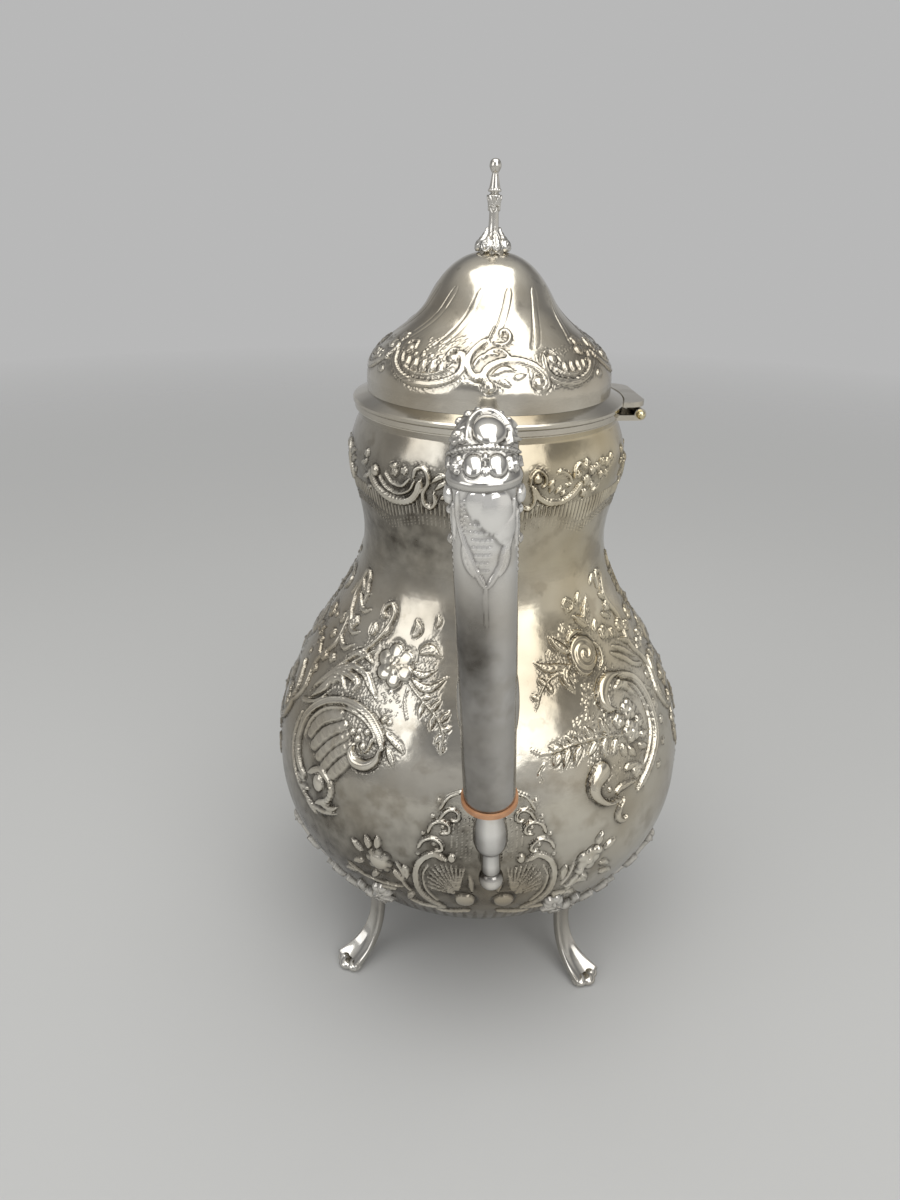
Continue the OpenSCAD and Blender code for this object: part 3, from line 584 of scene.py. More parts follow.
def tarnish_and_shade_group() -> bpy.types.NodeTree:
    """Tarnishing and painted shade that darken the silver by the per-vertex mask, and tarnishing that
    clouds the open silver.
    """
    group = new_group(
        "TarnishAndShade",
        [("Bright", "Color"), ("Warm", "Color"), ("Straw", "Color"), ("Dark", "Color"), ("Amount", "Float"),
         ("Cloud", "Float"), ("Ragged", "Float")],
        [("Color", "Color"), ("Roughness", "Float"), ("Height", "Float"), ("Dents", "Float")],
    )
    n = Nodes(group)
    given = n.tree.nodes.new("NodeGroupInput").outputs
    result = n.tree.nodes.new("NodeGroupOutput")
    place = n.add("TexCoord").outputs["Object"]
    deep = n.tree.nodes.new("ShaderNodeAttribute")
    deep.attribute_name = "shade_and_tarnish_mask"
    broad = n.noise(place, 26.0, 3.0)
    fine = n.noise(place, 240.0, 5.0)
    scratch = n.noise(place, 1900.0, 2.0)
    patches = n.span(n.noise(place, 120.0, 6.0), 0.5, 0.66, 0.0, 0.6)
    clouds = n.math("MULTIPLY", n.math("MAXIMUM", n.span(broad, 0.42, 0.68), patches), given["Cloud"])
    yellowed = n.tree.nodes.new("ShaderNodeAttribute")
    yellowed.attribute_name = "straw"
    aged = n.blend(n.math("MULTIPLY", yellowed.outputs["Fac"], n.span(broad, 0.25, 0.6)), given["Bright"],
                   given["Straw"])
    open_silver = n.blend(clouds, aged, given["Warm"])
    ragged = n.math("ADD", 1.0, n.math("MULTIPLY", n.math("SUBTRACT", fine, 0.5), given["Ragged"]))
    # Painted shade and tarnishing: the per-vertex mask darkens the silver towards Dark.
    shade_and_dirt = n.math("MULTIPLY", n.math("MULTIPLY", deep.outputs["Fac"], ragged), given["Amount"], True)
    specks = n.math("MULTIPLY", n.span(n.noise(place, 210.0, 6.0), 0.64, 0.76), 0.4)
    dull = n.math("MAXIMUM", shade_and_dirt, n.math("MULTIPLY", specks, given["Cloud"]))
    n.put(result, "Color", n.blend(dull, open_silver, given["Dark"]))
    grey = n.math("ADD", n.math("MULTIPLY", fine, 0.12), n.math("MULTIPLY", dull, 0.12))
    n.put(result, "Roughness", n.math("ADD", 0.07, n.math("ADD", grey, n.math("MULTIPLY", clouds, 0.08))))
    n.put(result, "Height", n.math("ADD", n.math("MULTIPLY", scratch, 0.25), broad))
    punched = n.tree.nodes.new("ShaderNodeAttribute")
    punched.attribute_name = "matted"
    grains = n.add("TexVoronoi", Vector=place, Scale=950.0).outputs["Distance"]
    waves = n.math("MULTIPLY", n.noise(place, 70.0, 3.0), 1.5)
    n.put(result, "Dents",
          n.math("SUBTRACT", waves,
                 n.math("MULTIPLY", grains, n.math("MULTIPLY", punched.outputs["Fac"], 0.9))))
    return group


@dataclass(frozen=True)
class SilverFinish:
    """A polished metal, tarnished and darkened with painted shade in its recesses, and darkened with
    painted shade where it turns away from the view.
    """

    name: str
    bright: tuple[float, float, float, float] = (0.81, 0.768, 0.672, 1)
    warm: tuple[float, float, float, float] = (0.42, 0.35, 0.245, 1)
    straw: tuple[float, float, float, float] = (0.88, 0.74, 0.45, 1)
    dark: tuple[float, float, float, float] = (0.060, 0.052, 0.042, 1)
    amount: float = 0.85
    cloud: float = 0.75
    ragged: float = 0.9
    bump: float = 0.05
    dents: float = 0.8
    # Strength of the painted shade where the surface turns away from the view.
    edge: float = 0.45

    def material(self, tarnish_and_shade: bpy.types.NodeTree) -> bpy.types.Material:
        """The finish as a material that uses the shared node group of tarnishing and painted shade."""
        mat = bpy.data.materials.new(self.name)
        mat.use_nodes = True
        n = Nodes(mat.node_tree)
        shade_and_dirt = n.tree.nodes.new("ShaderNodeGroup")
        shade_and_dirt.node_tree = tarnish_and_shade
        for key, value in (("Bright", self.bright), ("Warm", self.warm), ("Straw", self.straw),
                           ("Dark", self.dark), ("Amount", self.amount), ("Cloud", self.cloud),
                           ("Ragged", self.ragged)):
            n.put(shade_and_dirt, key, value)
        dents = n.add("Bump", Strength=self.dents, Distance=0.0003, Height=shade_and_dirt.outputs["Dents"])
        bump = n.add("Bump", Strength=self.bump, Distance=0.0006, Height=shade_and_dirt.outputs["Height"],
                     Normal=dents.outputs[0])
        # Painted shade: the colour darkens towards Dark where the surface turns away from the view,
        # standing in for dark reflections.
        facing = n.add("LayerWeight", Blend=0.5, Normal=bump.outputs[0]).outputs["Facing"]
        shaded = n.blend(n.span(facing, 0.3, 1.0, 0.0, self.edge), shade_and_dirt.outputs["Color"], self.dark)
        shader = n.add("BsdfPrincipled", Base_Color=shaded, Metallic=1.0,
                       Roughness=shade_and_dirt.outputs["Roughness"], Normal=bump.outputs[0])
        n.add("OutputMaterial", Surface=shader.outputs[0])
        return mat


@dataclass(frozen=True)
class FibreFinish:
    """Pressed tan fibre of the heat breaks."""

    name: str = "tan_fibre"
    pale: tuple[float, float, float, float] = (0.60, 0.32, 0.17, 1)
    deep: tuple[float, float, float, float] = (0.36, 0.15, 0.06, 1)
    roughness: float = 0.42

    def material(self) -> bpy.types.Material:
        """The finish as a material with short fibres and darker patches."""
        mat = bpy.data.materials.new(self.name)
        mat.use_nodes = True
        n = Nodes(mat.node_tree)
        place = n.add("TexCoord").outputs["Object"]
        patches = n.span(n.noise(place, 180.0), 0.4, 0.7)
        strands = n.noise(place, 1500.0, 3.0)
        bump = n.add("Bump", Strength=0.25, Distance=0.0002, Height=strands)
        shader = n.add("BsdfPrincipled", Base_Color=n.blend(patches, self.pale, self.deep),
                       Roughness=self.roughness, Normal=bump.outputs[0])
        n.add("OutputMaterial", Surface=shader.outputs[0])
        return mat


@dataclass
class Finishes:
    """The materials that the pieces share."""

    silver: bpy.types.Material
    cast: bpy.types.Material
    plain: bpy.types.Material
    polished: bpy.types.Material
    yellow: bpy.types.Material
    fibre: bpy.types.Material

    @classmethod
    def make(cls) -> "Finishes":
        """Builds every finish once."""
        tarnish_and_shade = tarnish_and_shade_group()
        return cls(
            silver=SilverFinish("embossed_silver").material(tarnish_and_shade),
            cast=SilverFinish("cast_silver", bright=(0.74, 0.72, 0.675, 1),
                              amount=0.8, cloud=0.4, dents=0.4).material(tarnish_and_shade),
            plain=SilverFinish("plain_silver", amount=0.0, cloud=0.45, dents=0.2).material(tarnish_and_shade),
            polished=SilverFinish("polished_silver", bright=(0.97, 0.95, 0.91, 1),
                                  warm=(0.66, 0.60, 0.50, 1),
                                  amount=1.0, cloud=0.6, ragged=0.35).material(tarnish_and_shade),
            yellow=SilverFinish("worn_yellow_metal", bright=(0.76, 0.69, 0.46, 1),
                                warm=(0.68, 0.57, 0.33, 1),
                                amount=0.0, cloud=0.6).material(tarnish_and_shade),
            fibre=FibreFinish().material(),
        )


def dress(piece: bpy.types.Object, finish: bpy.types.Material, body: str, slot: str,
          *nodes: str) -> bpy.types.Object:
    """Gives a piece its finish and its place in the frame.

    Args:
        piece: The new piece.
        finish: Its material.
        body: The body that it moves with.
        slot: The record's material slot; not used.
        nodes: The frame's nodes that it stands for.

    Returns:
        The same piece.
    """
    piece.data.materials.clear()
    piece.data.materials.append(finish)
    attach(piece, body)
    if nodes:
        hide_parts(*nodes)
    log.info("%s: %d faces", piece.name, len(piece.data.polygons))
    return piece


def front_angles(half: float, fine: float, coarse: float) -> np.ndarray:
    """Angles round a form, closer together over its front half angle than at the back."""
    return np.concatenate([np.arange(-half, half, fine), np.arange(half, 360 - half, coarse)])


def embossed_points(profile: Profile, relief: Relief, angles: np.ndarray,
                    lengths: np.ndarray) -> np.ndarray:
    """Points of a turned form with its embossing, in rows from its foot up."""
    r, z = profile.at(lengths)
    nr, nz = profile.normals(lengths)
    h = relief.sample(relief.height, angles, lengths)
    radius = r[:, None] + nr[:, None] * h
    a = np.radians(angles)
    return np.stack([radius * np.sin(a), -radius * np.cos(a), z[:, None] + nz[:, None] * h], -1)


def turned_skin(name: str, outline: np.ndarray, columns: int, inside: bool,
                keep: Optional[Callable[[np.ndarray], np.ndarray]] = None) -> bpy.types.Object:
    """Makes a plain turned surface.

    Args:
        name: Name of the object.
        outline: (radius, height) rows that run upwards.
        columns: Points round it.
        inside: True where it faces the axis.
        keep: Tells from the middles of the quads which to keep.

    Returns:
        The new object.
    """
    a = np.radians(np.arange(columns) * 360 / columns)
    r, z = outline[:, :1], outline[:, 1:]
    points = np.stack([r * np.sin(a), -r * np.cos(a), z + 0 * a], -1)
    middles = (points[1:] + points[:-1]) / 2
    faces = grid_faces(*points.shape[:2], True, None if keep is None else keep(middles))
    if inside:
        faces = [f[::-1] for f in faces]
    return make_piece(name, points.reshape(-1, 3), faces)


@dataclass
class Body:
    """The raised sheet body: bowl, shoulder, neck and mouth, with its embossing and lining."""

    belly_r: float = 70.2
    belly_z: float = 72.4
    base_z: float = 17.0
    waist_r: float = 38.9
    waist_z: float = 155.4
    fullness: float = 1.24
    collar_r: float = 42.6
    collar_z: float = 181.1
    mouth_r: float = 39.6
    mouth_h: float = 4.0
    rim_z: float = 195.9
    wall: float = 1.2
    outlet_z: float = 66.4
    outlet_r: float = 8.6
    chase_depth: float = 0.28
    relief_depth: float = 0.8
    # Painted shade by height, standing in for dark reflections on the neck and under the belly.
    painted_shade: tuple[Point, ...] = ((17, 0.58), (45, 0.62), (60, 0.6), (82, 0.4), (104, 0.13), (135, 0.06),
                                (150, 0.38), (160, 0.58), (172, 0.5), (184, 0.34), (195, 0.2))
    yellowing: tuple[Point, ...] = ((60, 0.2), (110, 0.35), (150, 0.85), (188, 0.9))
    profile: Profile = field(init=False)

    def __post_init__(self) -> None:
        """Draws the outline once."""
        self.profile = Profile(self.outline())

    def outline(self) -> np.ndarray:
        """The outside from the middle of the base to the rim, as (radius, height) rows."""
        a = np.linspace(0, math.pi / 2, 80)
        t = np.linspace(0, 1, 60)[1:]
        rise = (1 - np.cos(math.pi * t**self.fullness)) / 2
        turn = (1 - np.cos(math.pi * t)) / 2
        top = self.rim_z - self.mouth_h
        parts = [
            (self.belly_r * np.sin(a), self.belly_z - (self.belly_z - self.base_z) * np.cos(a)),
            (mix(self.belly_r, self.waist_r, rise), mix(self.belly_z, self.waist_z, t)),
            (mix(self.waist_r, self.collar_r, turn), mix(self.waist_z, self.collar_z, t)),
            (mix(self.mouth_r, self.collar_r, np.cos(math.pi / 2 * t)), mix(self.collar_z, top, t)),
            (np.array([self.mouth_r]), np.array([self.rim_z])),
        ]
        return np.vstack([np.column_stack(p) for p in parts])

    def radius(self, height: np.ndarray) -> np.ndarray:
        """Radius of the outside at given heights."""
        return np.interp(height, self.profile.outline[:, 1], self.profile.outline[:, 0])

    def build(self, finish: Finishes) -> None:
        """Makes the embossed outside in four rounds and the lining."""
        relief = Relief(self.profile, 2000, 0.25)
        BodyOrnament(relief).draw()
        relief.finish(self.chase_depth, self.relief_depth)
        angles = front_angles(78, 0.32, 0.8)
        under = self.profile.length_at(33)
        lengths = np.concatenate([np.arange(0.02, under, 1.0), np.arange(under, self.profile.total, 0.44),
                                  [self.profile.total]])
        points = embossed_points(self.profile, relief, angles, lengths)
        normals = grid_normals(points)
        heights = self.profile.at(lengths)[1]
        # Tarnishing and painted shade in the hollows, plus the body's painted shade and painted shadow,
        # less on raised tops.
        worn = 1 - 0.85 * np.clip(relief.sample(relief.height, angles, lengths) / 0.6, 0, 1)
        shade_and_tarnish_mask = np.clip(relief.sample(relief.shade_and_tarnish_mask, angles, lengths)
                         + worn * self.tarnish_and_shade(heights, angles), 0, 1)
        matted = relief.sample(relief.matted, angles, lengths)
        straw = self.straw(heights, angles)
        cuts = [0] + [int(np.searchsorted(heights, z)) for z in (58, 98, 142)] + [len(lengths) - 1]
        for name, lo, hi in zip(("body_under", "body_bowl", "body_shoulder", "body_neck"), cuts, cuts[1:]):
            part = points[lo:hi + 1]
            faces = grid_faces(*part.shape[:2], True, self._off_outlet((part[1:] + part[:-1]) / 2))
            piece = make_piece(name, part.reshape(-1, 3), faces, normals[lo:hi + 1].reshape(-1, 3),
                               shade_and_tarnish_mask[lo:hi + 1], matted[lo:hi + 1], straw[lo:hi + 1])
            dress(piece, finish.silver, "pot", "silver", "body")
        s = np.linspace(0, self.profile.total, 110)
        (r, z), (nr, nz) = self.profile.at(s), self.profile.normals(s)
        inner = np.column_stack([np.maximum(r - self.wall * nr, 0.01), z - self.wall * nz])
        inner[-1] = (self.mouth_r - self.wall, self.rim_z)
        rim = np.vstack([inner, [[self.mouth_r, self.rim_z]]])
        dress(turned_skin("body_lining", rim, 120, True, self._off_outlet),
              finish.plain, "pot", "silver", "body")

    def tarnish_and_shade(self, heights: np.ndarray, angles: np.ndarray) -> np.ndarray:
        """Painted shade on the neck and under the belly, heavier on the left, and a painted shadow on the
        body behind the handle's knob.
        """
        painted_shade = np.interp(heights, *zip(*self.painted_shade))
        behind = np.exp(-((angles / 10) ** 2))[None, :] * np.exp(-(((heights - 76) / 14) ** 2))[:, None]
        return painted_shade[:, None] * (1 - 0.6 * np.sin(np.radians(2 * angles))) + 0.34 * behind

    def straw(self, heights: np.ndarray, angles: np.ndarray) -> np.ndarray:
        """Yellow tint that lies on the right of the neck and shoulder."""
        up = np.interp(heights, *zip(*self.yellowing))
        return up[:, None] * np.clip(0.25 + np.sin(np.radians(angles)), 0, 1)

    def _off_outlet(self, middles: np.ndarray) -> np.ndarray:
        """Which of the quads with these middles lie off the hole behind the spout."""
        x, y, z = np.moveaxis(middles, -1, 0)
        return (x**2 + (z - self.outlet_z) ** 2 > self.outlet_r**2) | (y < 0)


@dataclass
class BodyOrnament:
    """Scrolls, flowers and shells embossed on the body."""

    relief: Relief

    def draw(self) -> None:
        """Draws every motif, with the panels repeated on the spout's side."""
        r = self.relief
        r.turns = (0, 180)
        self.left_scroll()
        self.left_flowers()
        self.right_flowers()
        self.right_scroll()
        self.left_boss()
        self.right_boss()
        self.neck_left()
        self.neck_right()
        r.mirror_about = 2.2
        self.shell()
        r.mirror_about = None
        r.turns = (90, -90)
        self.side_spray()
        r.turns = (0,)
        self.fringe()
        self.rays()

    def left_scroll(self) -> None:
        """Draws the large C scroll with its rocaille and the shell below it."""
        r = self.relief
        for rib in ([(-53.8, 97.5), (-50.6, 103.8), (-44, 108.6)],
                    [(-51, 95), (-46.8, 101.7), (-41.2, 106.2)],
                    [(-47.9, 93), (-43.9, 99.5), (-39.3, 104.1)],
                    [(-45.1, 91.2), (-41.7, 97.2), (-37.6, 101.8)],
                    [(-42, 90.4), (-38.9, 95), (-36.9, 98.6)]):
            r.line(rib, 2.2, 0.6, Section.CORD)
        for cut in ([(-52.5, 96), (-48.9, 102.6), (-42.1, 107.4)],
                    [(-49.4, 93.8), (-44.8, 100.7), (-40.2, 105)],
                    [(-46.3, 92.3), (-42.9, 98.3), (-38.4, 103.2)],
                    [(-43.9, 90), (-40.5, 96), (-36.8, 100.3)]):
            r.line(cut, 0.45, 0.32, Section.CUT)
        r.line([(-26.9, 104.4), (-29.1, 108.2), (-34.7, 111.7), (-43.2, 112.3), (-51.9, 108.8),
                (-57.7, 102.1), (-58.7, 94.9), (-57.1, 88.2), (-52.9, 83.1)], 1.3, 1.5, Section.BAND)
        r.line([(-29.3, 105.5), (-31.3, 108.1), (-36.2, 110.2), (-43.2, 110.4), (-50.4, 107.3),
                (-54.8, 101.8), (-55.7, 95.6)], 0.6, 1.0)
        r.line([(-27.3, 104.9), (-28.1, 101), (-31, 98.4), (-34.5, 98.2), (-36.3, 100.5), (-35.7, 103)],
               1.8, 1.9, Section.RIDGE, Taper.CRESCENT)
        r.line([(-30.6, 105.8), (-31.4, 102.6), (-33.4, 101.6)], 0.8, 1.2, Section.RIDGE, Taper.COMMA)
        for a, z, size in ((-35.6, 104.4, 1.2), (-33.3, 103, 1.1), (-37.9, 105.6, 1.1), (-33, 107.2, 1.2),
                           (-35.8, 106.6, 0.9), (-28.8, 111.8, 1.1), (-26.9, 111.4, 0.9),
                           (-52.8, 114.8, 1.4), (-55.6, 112.6, 1.2)):
            r.bead((a, z), size)
        r.bead((-46, 85.4), 2.4, 1.5, 1.3)
        r.line([(-50.4, 86.4), (-46.3, 89.9), (-42.9, 89.1), (-40.9, 86.2), (-42.1, 81.5), (-46.3, 78)],
               1.2, 1.1)
        for z in (80.6, 82, 83.4, 84.8, 86.2, 87.6):
            r.line([(-42.9, z + 0.2), (-40.4, z - 0.4)], 0.35, 0.6, Section.CUT)
        for leaf in ([(-52, 84), (-56, 86)], [(-52, 82), (-57, 82.5)], [(-50, 80.5), (-55, 79)],
                     [(-49.5, 75.6), (-43.5, 76.5), (-36.8, 79.5)],
                     [(-45, 78.6), (-40.5, 79.4), (-37.6, 82)], [(-51, 76), (-46, 73.5)],
                     [(-27.4, 108.7), (-22.7, 106.4), (-20.4, 104.6)],
                     [(-25.6, 105), (-24, 102.6), (-22.9, 100.6)]):
            r.leaf(*leaf, width=1.1, height=1.0)
        r.line([(-61, 101), (-61.8, 94), (-60.6, 87), (-57, 80.5), (-51.6, 77), (-46.5, 75)],
               0.9, 1.0, Section.BAND)
        r.line([(-63, 104), (-57.5, 106.2), (-53.8, 109.3), (-51.5, 113)],
               1.0, 1.0, Section.RIDGE, Taper.COMMA)

    def left_flowers(self) -> None:
        """Draws the double flower, its leaves and sprig, and the acanthus behind it."""
        r = self.relief
        r.flower((-30.6, 125.6), 6.6, 6, 1.1, 0.3)
        r.flower((-30.8, 125.4), 3.6, 5, 1.6)
        r.bead((-30.8, 125.5), 1.2, 1.9)
        for frond in ([(-61.6, 107.6), (-55.6, 115.4), (-47.5, 120.8), (-39.9, 121.3)],
                      [(-54.6, 115.9), (-49, 118.4), (-43, 118.1), (-42.5, 115.2)],
                      [(-47.3, 120.5), (-40.7, 120.7), (-37.3, 118.7), (-33.2, 116.1)],
                      [(-58.5, 108.1), (-54.7, 113.2), (-52.4, 116.8)],
                      [(-61.8, 104.6), (-55.2, 111), (-53.9, 114.5), (-49.5, 116.4), (-45.9, 114.6)],
                      [(-52, 122.5), (-45.5, 125.2), (-39, 124)]):
            r.line(frond, 1.35, 1.2, Section.LEAF, Taper.CRESCENT)
        for strand in ([(-66, 144), (-60, 139.5), (-54, 140)], [(-64, 134), (-57, 128.5), (-51, 129.5)],
                       [(-62, 126), (-56, 123.5), (-51, 126)], [(-63, 139), (-56, 135), (-50, 136.5)],
                       [(-69.8, 135.8), (-68.5, 138.4), (-65.9, 142)],
                       [(-56.4, 136.4), (-57.3, 139.5), (-58.6, 143)]):
            r.line(strand, 0.95, 1.0, Section.LEAF, Taper.CRESCENT)
        r.line([(-60.4, 109.6), (-51.5, 120.8), (-42.4, 128.7), (-38.4, 134.5), (-37.5, 138.4),
                (-40, 140.4), (-42.6, 139.4), (-43, 137), (-40.6, 136.6)], 0.75, 1.1)
        r.line([(-57.8, 111.9), (-48.9, 120.9), (-40.3, 127.4)], 0.55, 0.8)
        for leaf, width in (([(-22.7, 130.2), (-18.9, 131.6), (-14.3, 130)], 1.8),
                            ([(-26.9, 133.7), (-25.4, 136.1), (-27.3, 138.7)], 1.4),
                            ([(-18.3, 137.2), (-17.3, 139.2), (-18.6, 140.8)], 0.8),
                            ([(-23.6, 123.5), (-17, 121.9), (-10.8, 125.8)], 1.3),
                            ([(-24, 125.6), (-19.8, 124.9), (-15, 127)], 1.1),
                            ([(-45, 130.5), (-45.3, 133.8)], 1.4), ([(-40, 131.7), (-37.2, 135)], 1.2)):
            r.leaf(*leaf, width=width, height=1.0)
        r.line([(-24, 122.4), (-18.4, 119), (-13.6, 115.9), (-10.7, 111.9), (-10.9, 108.3)], 0.4, 0.7)
        for leaf in ([(-19.2, 119.4), (-15.2, 120.2)], [(-17.9, 118.5), (-18.3, 114.4)],
                     [(-15.1, 116.7), (-12.5, 119.8)], [(-13.9, 115.8), (-14.4, 111.8)],
                     [(-11.7, 114.5), (-9.3, 117.2)], [(-10.8, 112.4), (-8.5, 113.4)],
                     [(-10.9, 111.3), (-12.6, 108.9)], [(-10.8, 109.6), (-10.4, 106.4)]):
            r.leaf(*leaf, width=0.95, height=0.9)
        r.line([(-23.8, 120.8), (-23.8, 117.5), (-21.8, 113.4)], 0.35, 0.6)
        r.line([(-72, 97), (-66, 106), (-67, 115), (-61.5, 123), (-62.5, 131), (-66, 138), (-63, 145),
                (-59, 144), (-59.5, 140.5)], 0.8, 0.9)
        for a, z, size in ((-64.2, 118, 1.5), (-59.1, 119.3, 1.3), (-66.2, 129.2, 1.4), (-57.1, 131.2, 1.5),
                           (-63.2, 131, 1.2), (-66.8, 124, 1.3), (-65.7, 113.1, 1.2)):
            r.flower((a, z), 1.4 * size, 5, size)
        for middle, half in (((-28.5, 115.8), (4.6, 3.4)), ((-20, 128), (4, 1.3)), ((-35, 115.4), (3, 1.6)),
                             ((-48, 114), (5, 1.4))):
            r.matting(middle, half, 1.15, 3, 0.4)

    def right_flowers(self) -> None:
        """Draws the rose, its leaves and sprig, and the curls above it."""
        r = self.relief
        r.rose((38.5, 128.3), 5.2, 1.5)
        for petal in ([(44.3, 130.5), (46.3, 128), (45.5, 124.8), (43, 123.2)],
                      [(33, 131.5), (34, 133.5), (38, 134.3), (42.5, 133.3)],
                      [(33, 126), (36, 123.6), (40, 123.2)]):
            r.line(petal, 0.7, 0.8, Section.RIDGE, Taper.CRESCENT)
        for leaf in ([(32.7, 129.3), (28.4, 132.2), (25.3, 135)], [(30.7, 126.7), (22.8, 127.1), (18, 129)],
                     [(32.2, 126.8), (28.8, 125.4), (28.7, 122.6), (30.8, 119.4)],
                     [(44.3, 134.4), (41.9, 136.7), (38.2, 138.8)]):
            r.leaf(*leaf, width=1.45, height=1.0)
        for leaf in ([(20.9, 123.2), (18.8, 125)], [(21.7, 123.4), (22.8, 120.8)], [(18, 120), (15.6, 121)],
                     [(46.7, 137.8), (47.6, 141.6)], [(41.9, 141.3), (44.7, 144.6)],
                     [(50.6, 125.7), (56.5, 122.6), (62.7, 117.4)], [(53.2, 127), (59, 124), (65.9, 118.8)],
                     [(58.9, 127.4), (65, 124.6), (71, 121)], [(47.4, 132.5), (50, 135.5)],
                     [(53, 145), (58, 148)], [(58, 141), (63, 138)], [(55, 136), (61, 133)]):
            r.leaf(*leaf, width=0.95, height=0.9)
        r.line([(27.6, 125.3), (23.2, 124.6), (19.1, 121.8), (16.4, 117.3)], 0.38, 0.6)
        r.line([(34.4, 142.4), (36.5, 143.6), (39.4, 142.4), (38.6, 140.6), (36, 140.4), (34.4, 142.4)],
               0.45, 0.7)
        r.line([(44.2, 137.6), (46, 140.3), (49.5, 142.8)], 0.8, 0.9, Section.RIDGE, Taper.COMMA)
        for a, z, size in ((52.6, 131, 2.4), (57.3, 129.6, 1.8), (64.2, 129.6, 2.2), (61, 136.5, 1.6),
                           (69, 128, 1.8)):
            r.flower((a, z), size, 5, 1.1)
        for middle, half in (((35, 118), (3.6, 4.4)), ((33, 136), (4.6, 1.8)), ((25.6, 130.6), (4, 1.2)),
                             ((46.6, 122.4), (4, 1.2)), ((31, 124), (1.6, 3))):
            r.matting(middle, half, 1.15, 7, 0.4)

    def right_scroll(self) -> None:
        """Draws the C scroll with its flowers, leafy branch and comma lobe."""
        r = self.relief
        r.line([(48.8, 120.3), (57, 116.2), (59.9, 109.5), (59.3, 102.2), (56.7, 96.4), (51.1, 90.8),
                (45.4, 86.6)], 1.3, 1.4, Section.BAND)
        r.line([(49.3, 118.2), (55.2, 114.8), (57.2, 109.4), (56.6, 103.1), (54, 98.1), (49.2, 92.9)],
               0.5, 0.8)
        r.line([(50.2, 119.6), (46.2, 120.4), (42.4, 119.2), (40, 116.4), (40.6, 113.2), (43.8, 111.8)],
               2.1, 1.7, Section.RIDGE, Taper.CRESCENT)
        r.leaf((46, 117), (51, 116.4), (55, 111), width=1.3, height=1.0)
        for a, z, size, top in ((49, 110, 3.3, 1.3), (47.4, 104.3, 3.7, 1.4), (43.6, 108.6, 2.4, 1.2),
                                (46.1, 92.8, 2.5, 1.1), (52, 105.6, 2.0, 1.0)):
            r.flower((a, z), size, 5, top, a)
            r.bead((a, z), 0.3 * size, top + 0.3)
        for leaf in ([(38.4, 106.8), (37.2, 109.3), (36.6, 111.9)],
                     [(32.6, 107.5), (31.9, 109), (30.5, 111)], [(27.4, 107.3), (26, 108.4), (24.2, 109.8)],
                     [(22.5, 106.8), (21, 107.3), (18.5, 107.9)],
                     [(40.7, 104.7), (39.2, 102.8), (37.4, 100.7)],
                     [(37.3, 105.9), (35.6, 104), (35.4, 100.8)],
                     [(33.4, 106.2), (31.8, 104.6), (29.3, 103)],
                     [(28.6, 106.3), (26.8, 104.4), (25.2, 101.2)],
                     [(24.8, 106.3), (23.4, 104.3), (22.3, 101.2)],
                     [(22, 105.4), (20.6, 104), (19.5, 102.6)], [(50.5, 101.8), (54, 101)],
                     [(48.6, 99.6), (52, 97.6)], [(44.4, 100.6), (46.4, 97.2)],
                     [(42.2, 102.4), (42.4, 98.8)], [(41.1, 95.2), (43.8, 95.3), (47.2, 95.2)],
                     [(36.5, 90), (41, 90.6), (46, 90)]):
            r.leaf(*leaf, width=1.25, height=1.05)
        r.line([(43.8, 104.6), (37.4, 106.5), (30.6, 107.3), (24.9, 107.2), (19.2, 106.5)], 0.42, 0.9)
        r.line([(18.9, 106.5), (15.9, 106.6), (13.6, 107.8)], 0.3, 0.5)
        r.line([(17, 103.7), (15.3, 101.3), (16.1, 99.1)], 0.35, 0.6)
        r.line([(33.4, 97.6), (31.2, 95.6), (30.4, 93), (31.4, 90.2), (34.2, 87.6), (38.7, 87.1)],
               3.1, 2.0, Section.RIDGE, Taper.COMMA)
        r.bead((35.2, 91.5), 0.9, 0.8)
        r.bead((37.8, 89.6), 0.8, 0.7)
        r.line([(40.2, 87), (38.4, 84), (37.9, 81), (39.6, 79), (41.2, 80.2)],
               1.1, 1.2, Section.RIDGE, Taper.CRESCENT)
        r.line([(57, 122.5), (61, 119), (66, 117)], 0.8, 0.9)
        r.line([(60.6, 112.5), (64, 110), (68, 110.5)], 0.8, 0.9, Section.RIDGE, Taper.COMMA)
        r.line([(72, 99), (68, 107), (70, 116), (65, 124), (66.5, 132), (62, 139), (64, 146), (59.5, 147),
                (58.5, 143)], 0.8, 0.9)
        for a, z, size in ((63, 106, 1.6), (64, 100, 1.5), (61.6, 94, 1.4), (57, 88.6, 1.4),
                           (66.5, 113.5, 1.5)):
            r.flower((a, z), size, 5, 0.9)
        for middle, half in (((31.5, 112.4), (4.4, 1.6)), ((32.4, 101), (3, 2)), ((39.4, 96), (2.6, 3)),
                             ((39.6, 112), (2.2, 2)), ((27, 109.6), (3, 1))):
            r.matting(middle, half, 1.1, 11, 0.4)

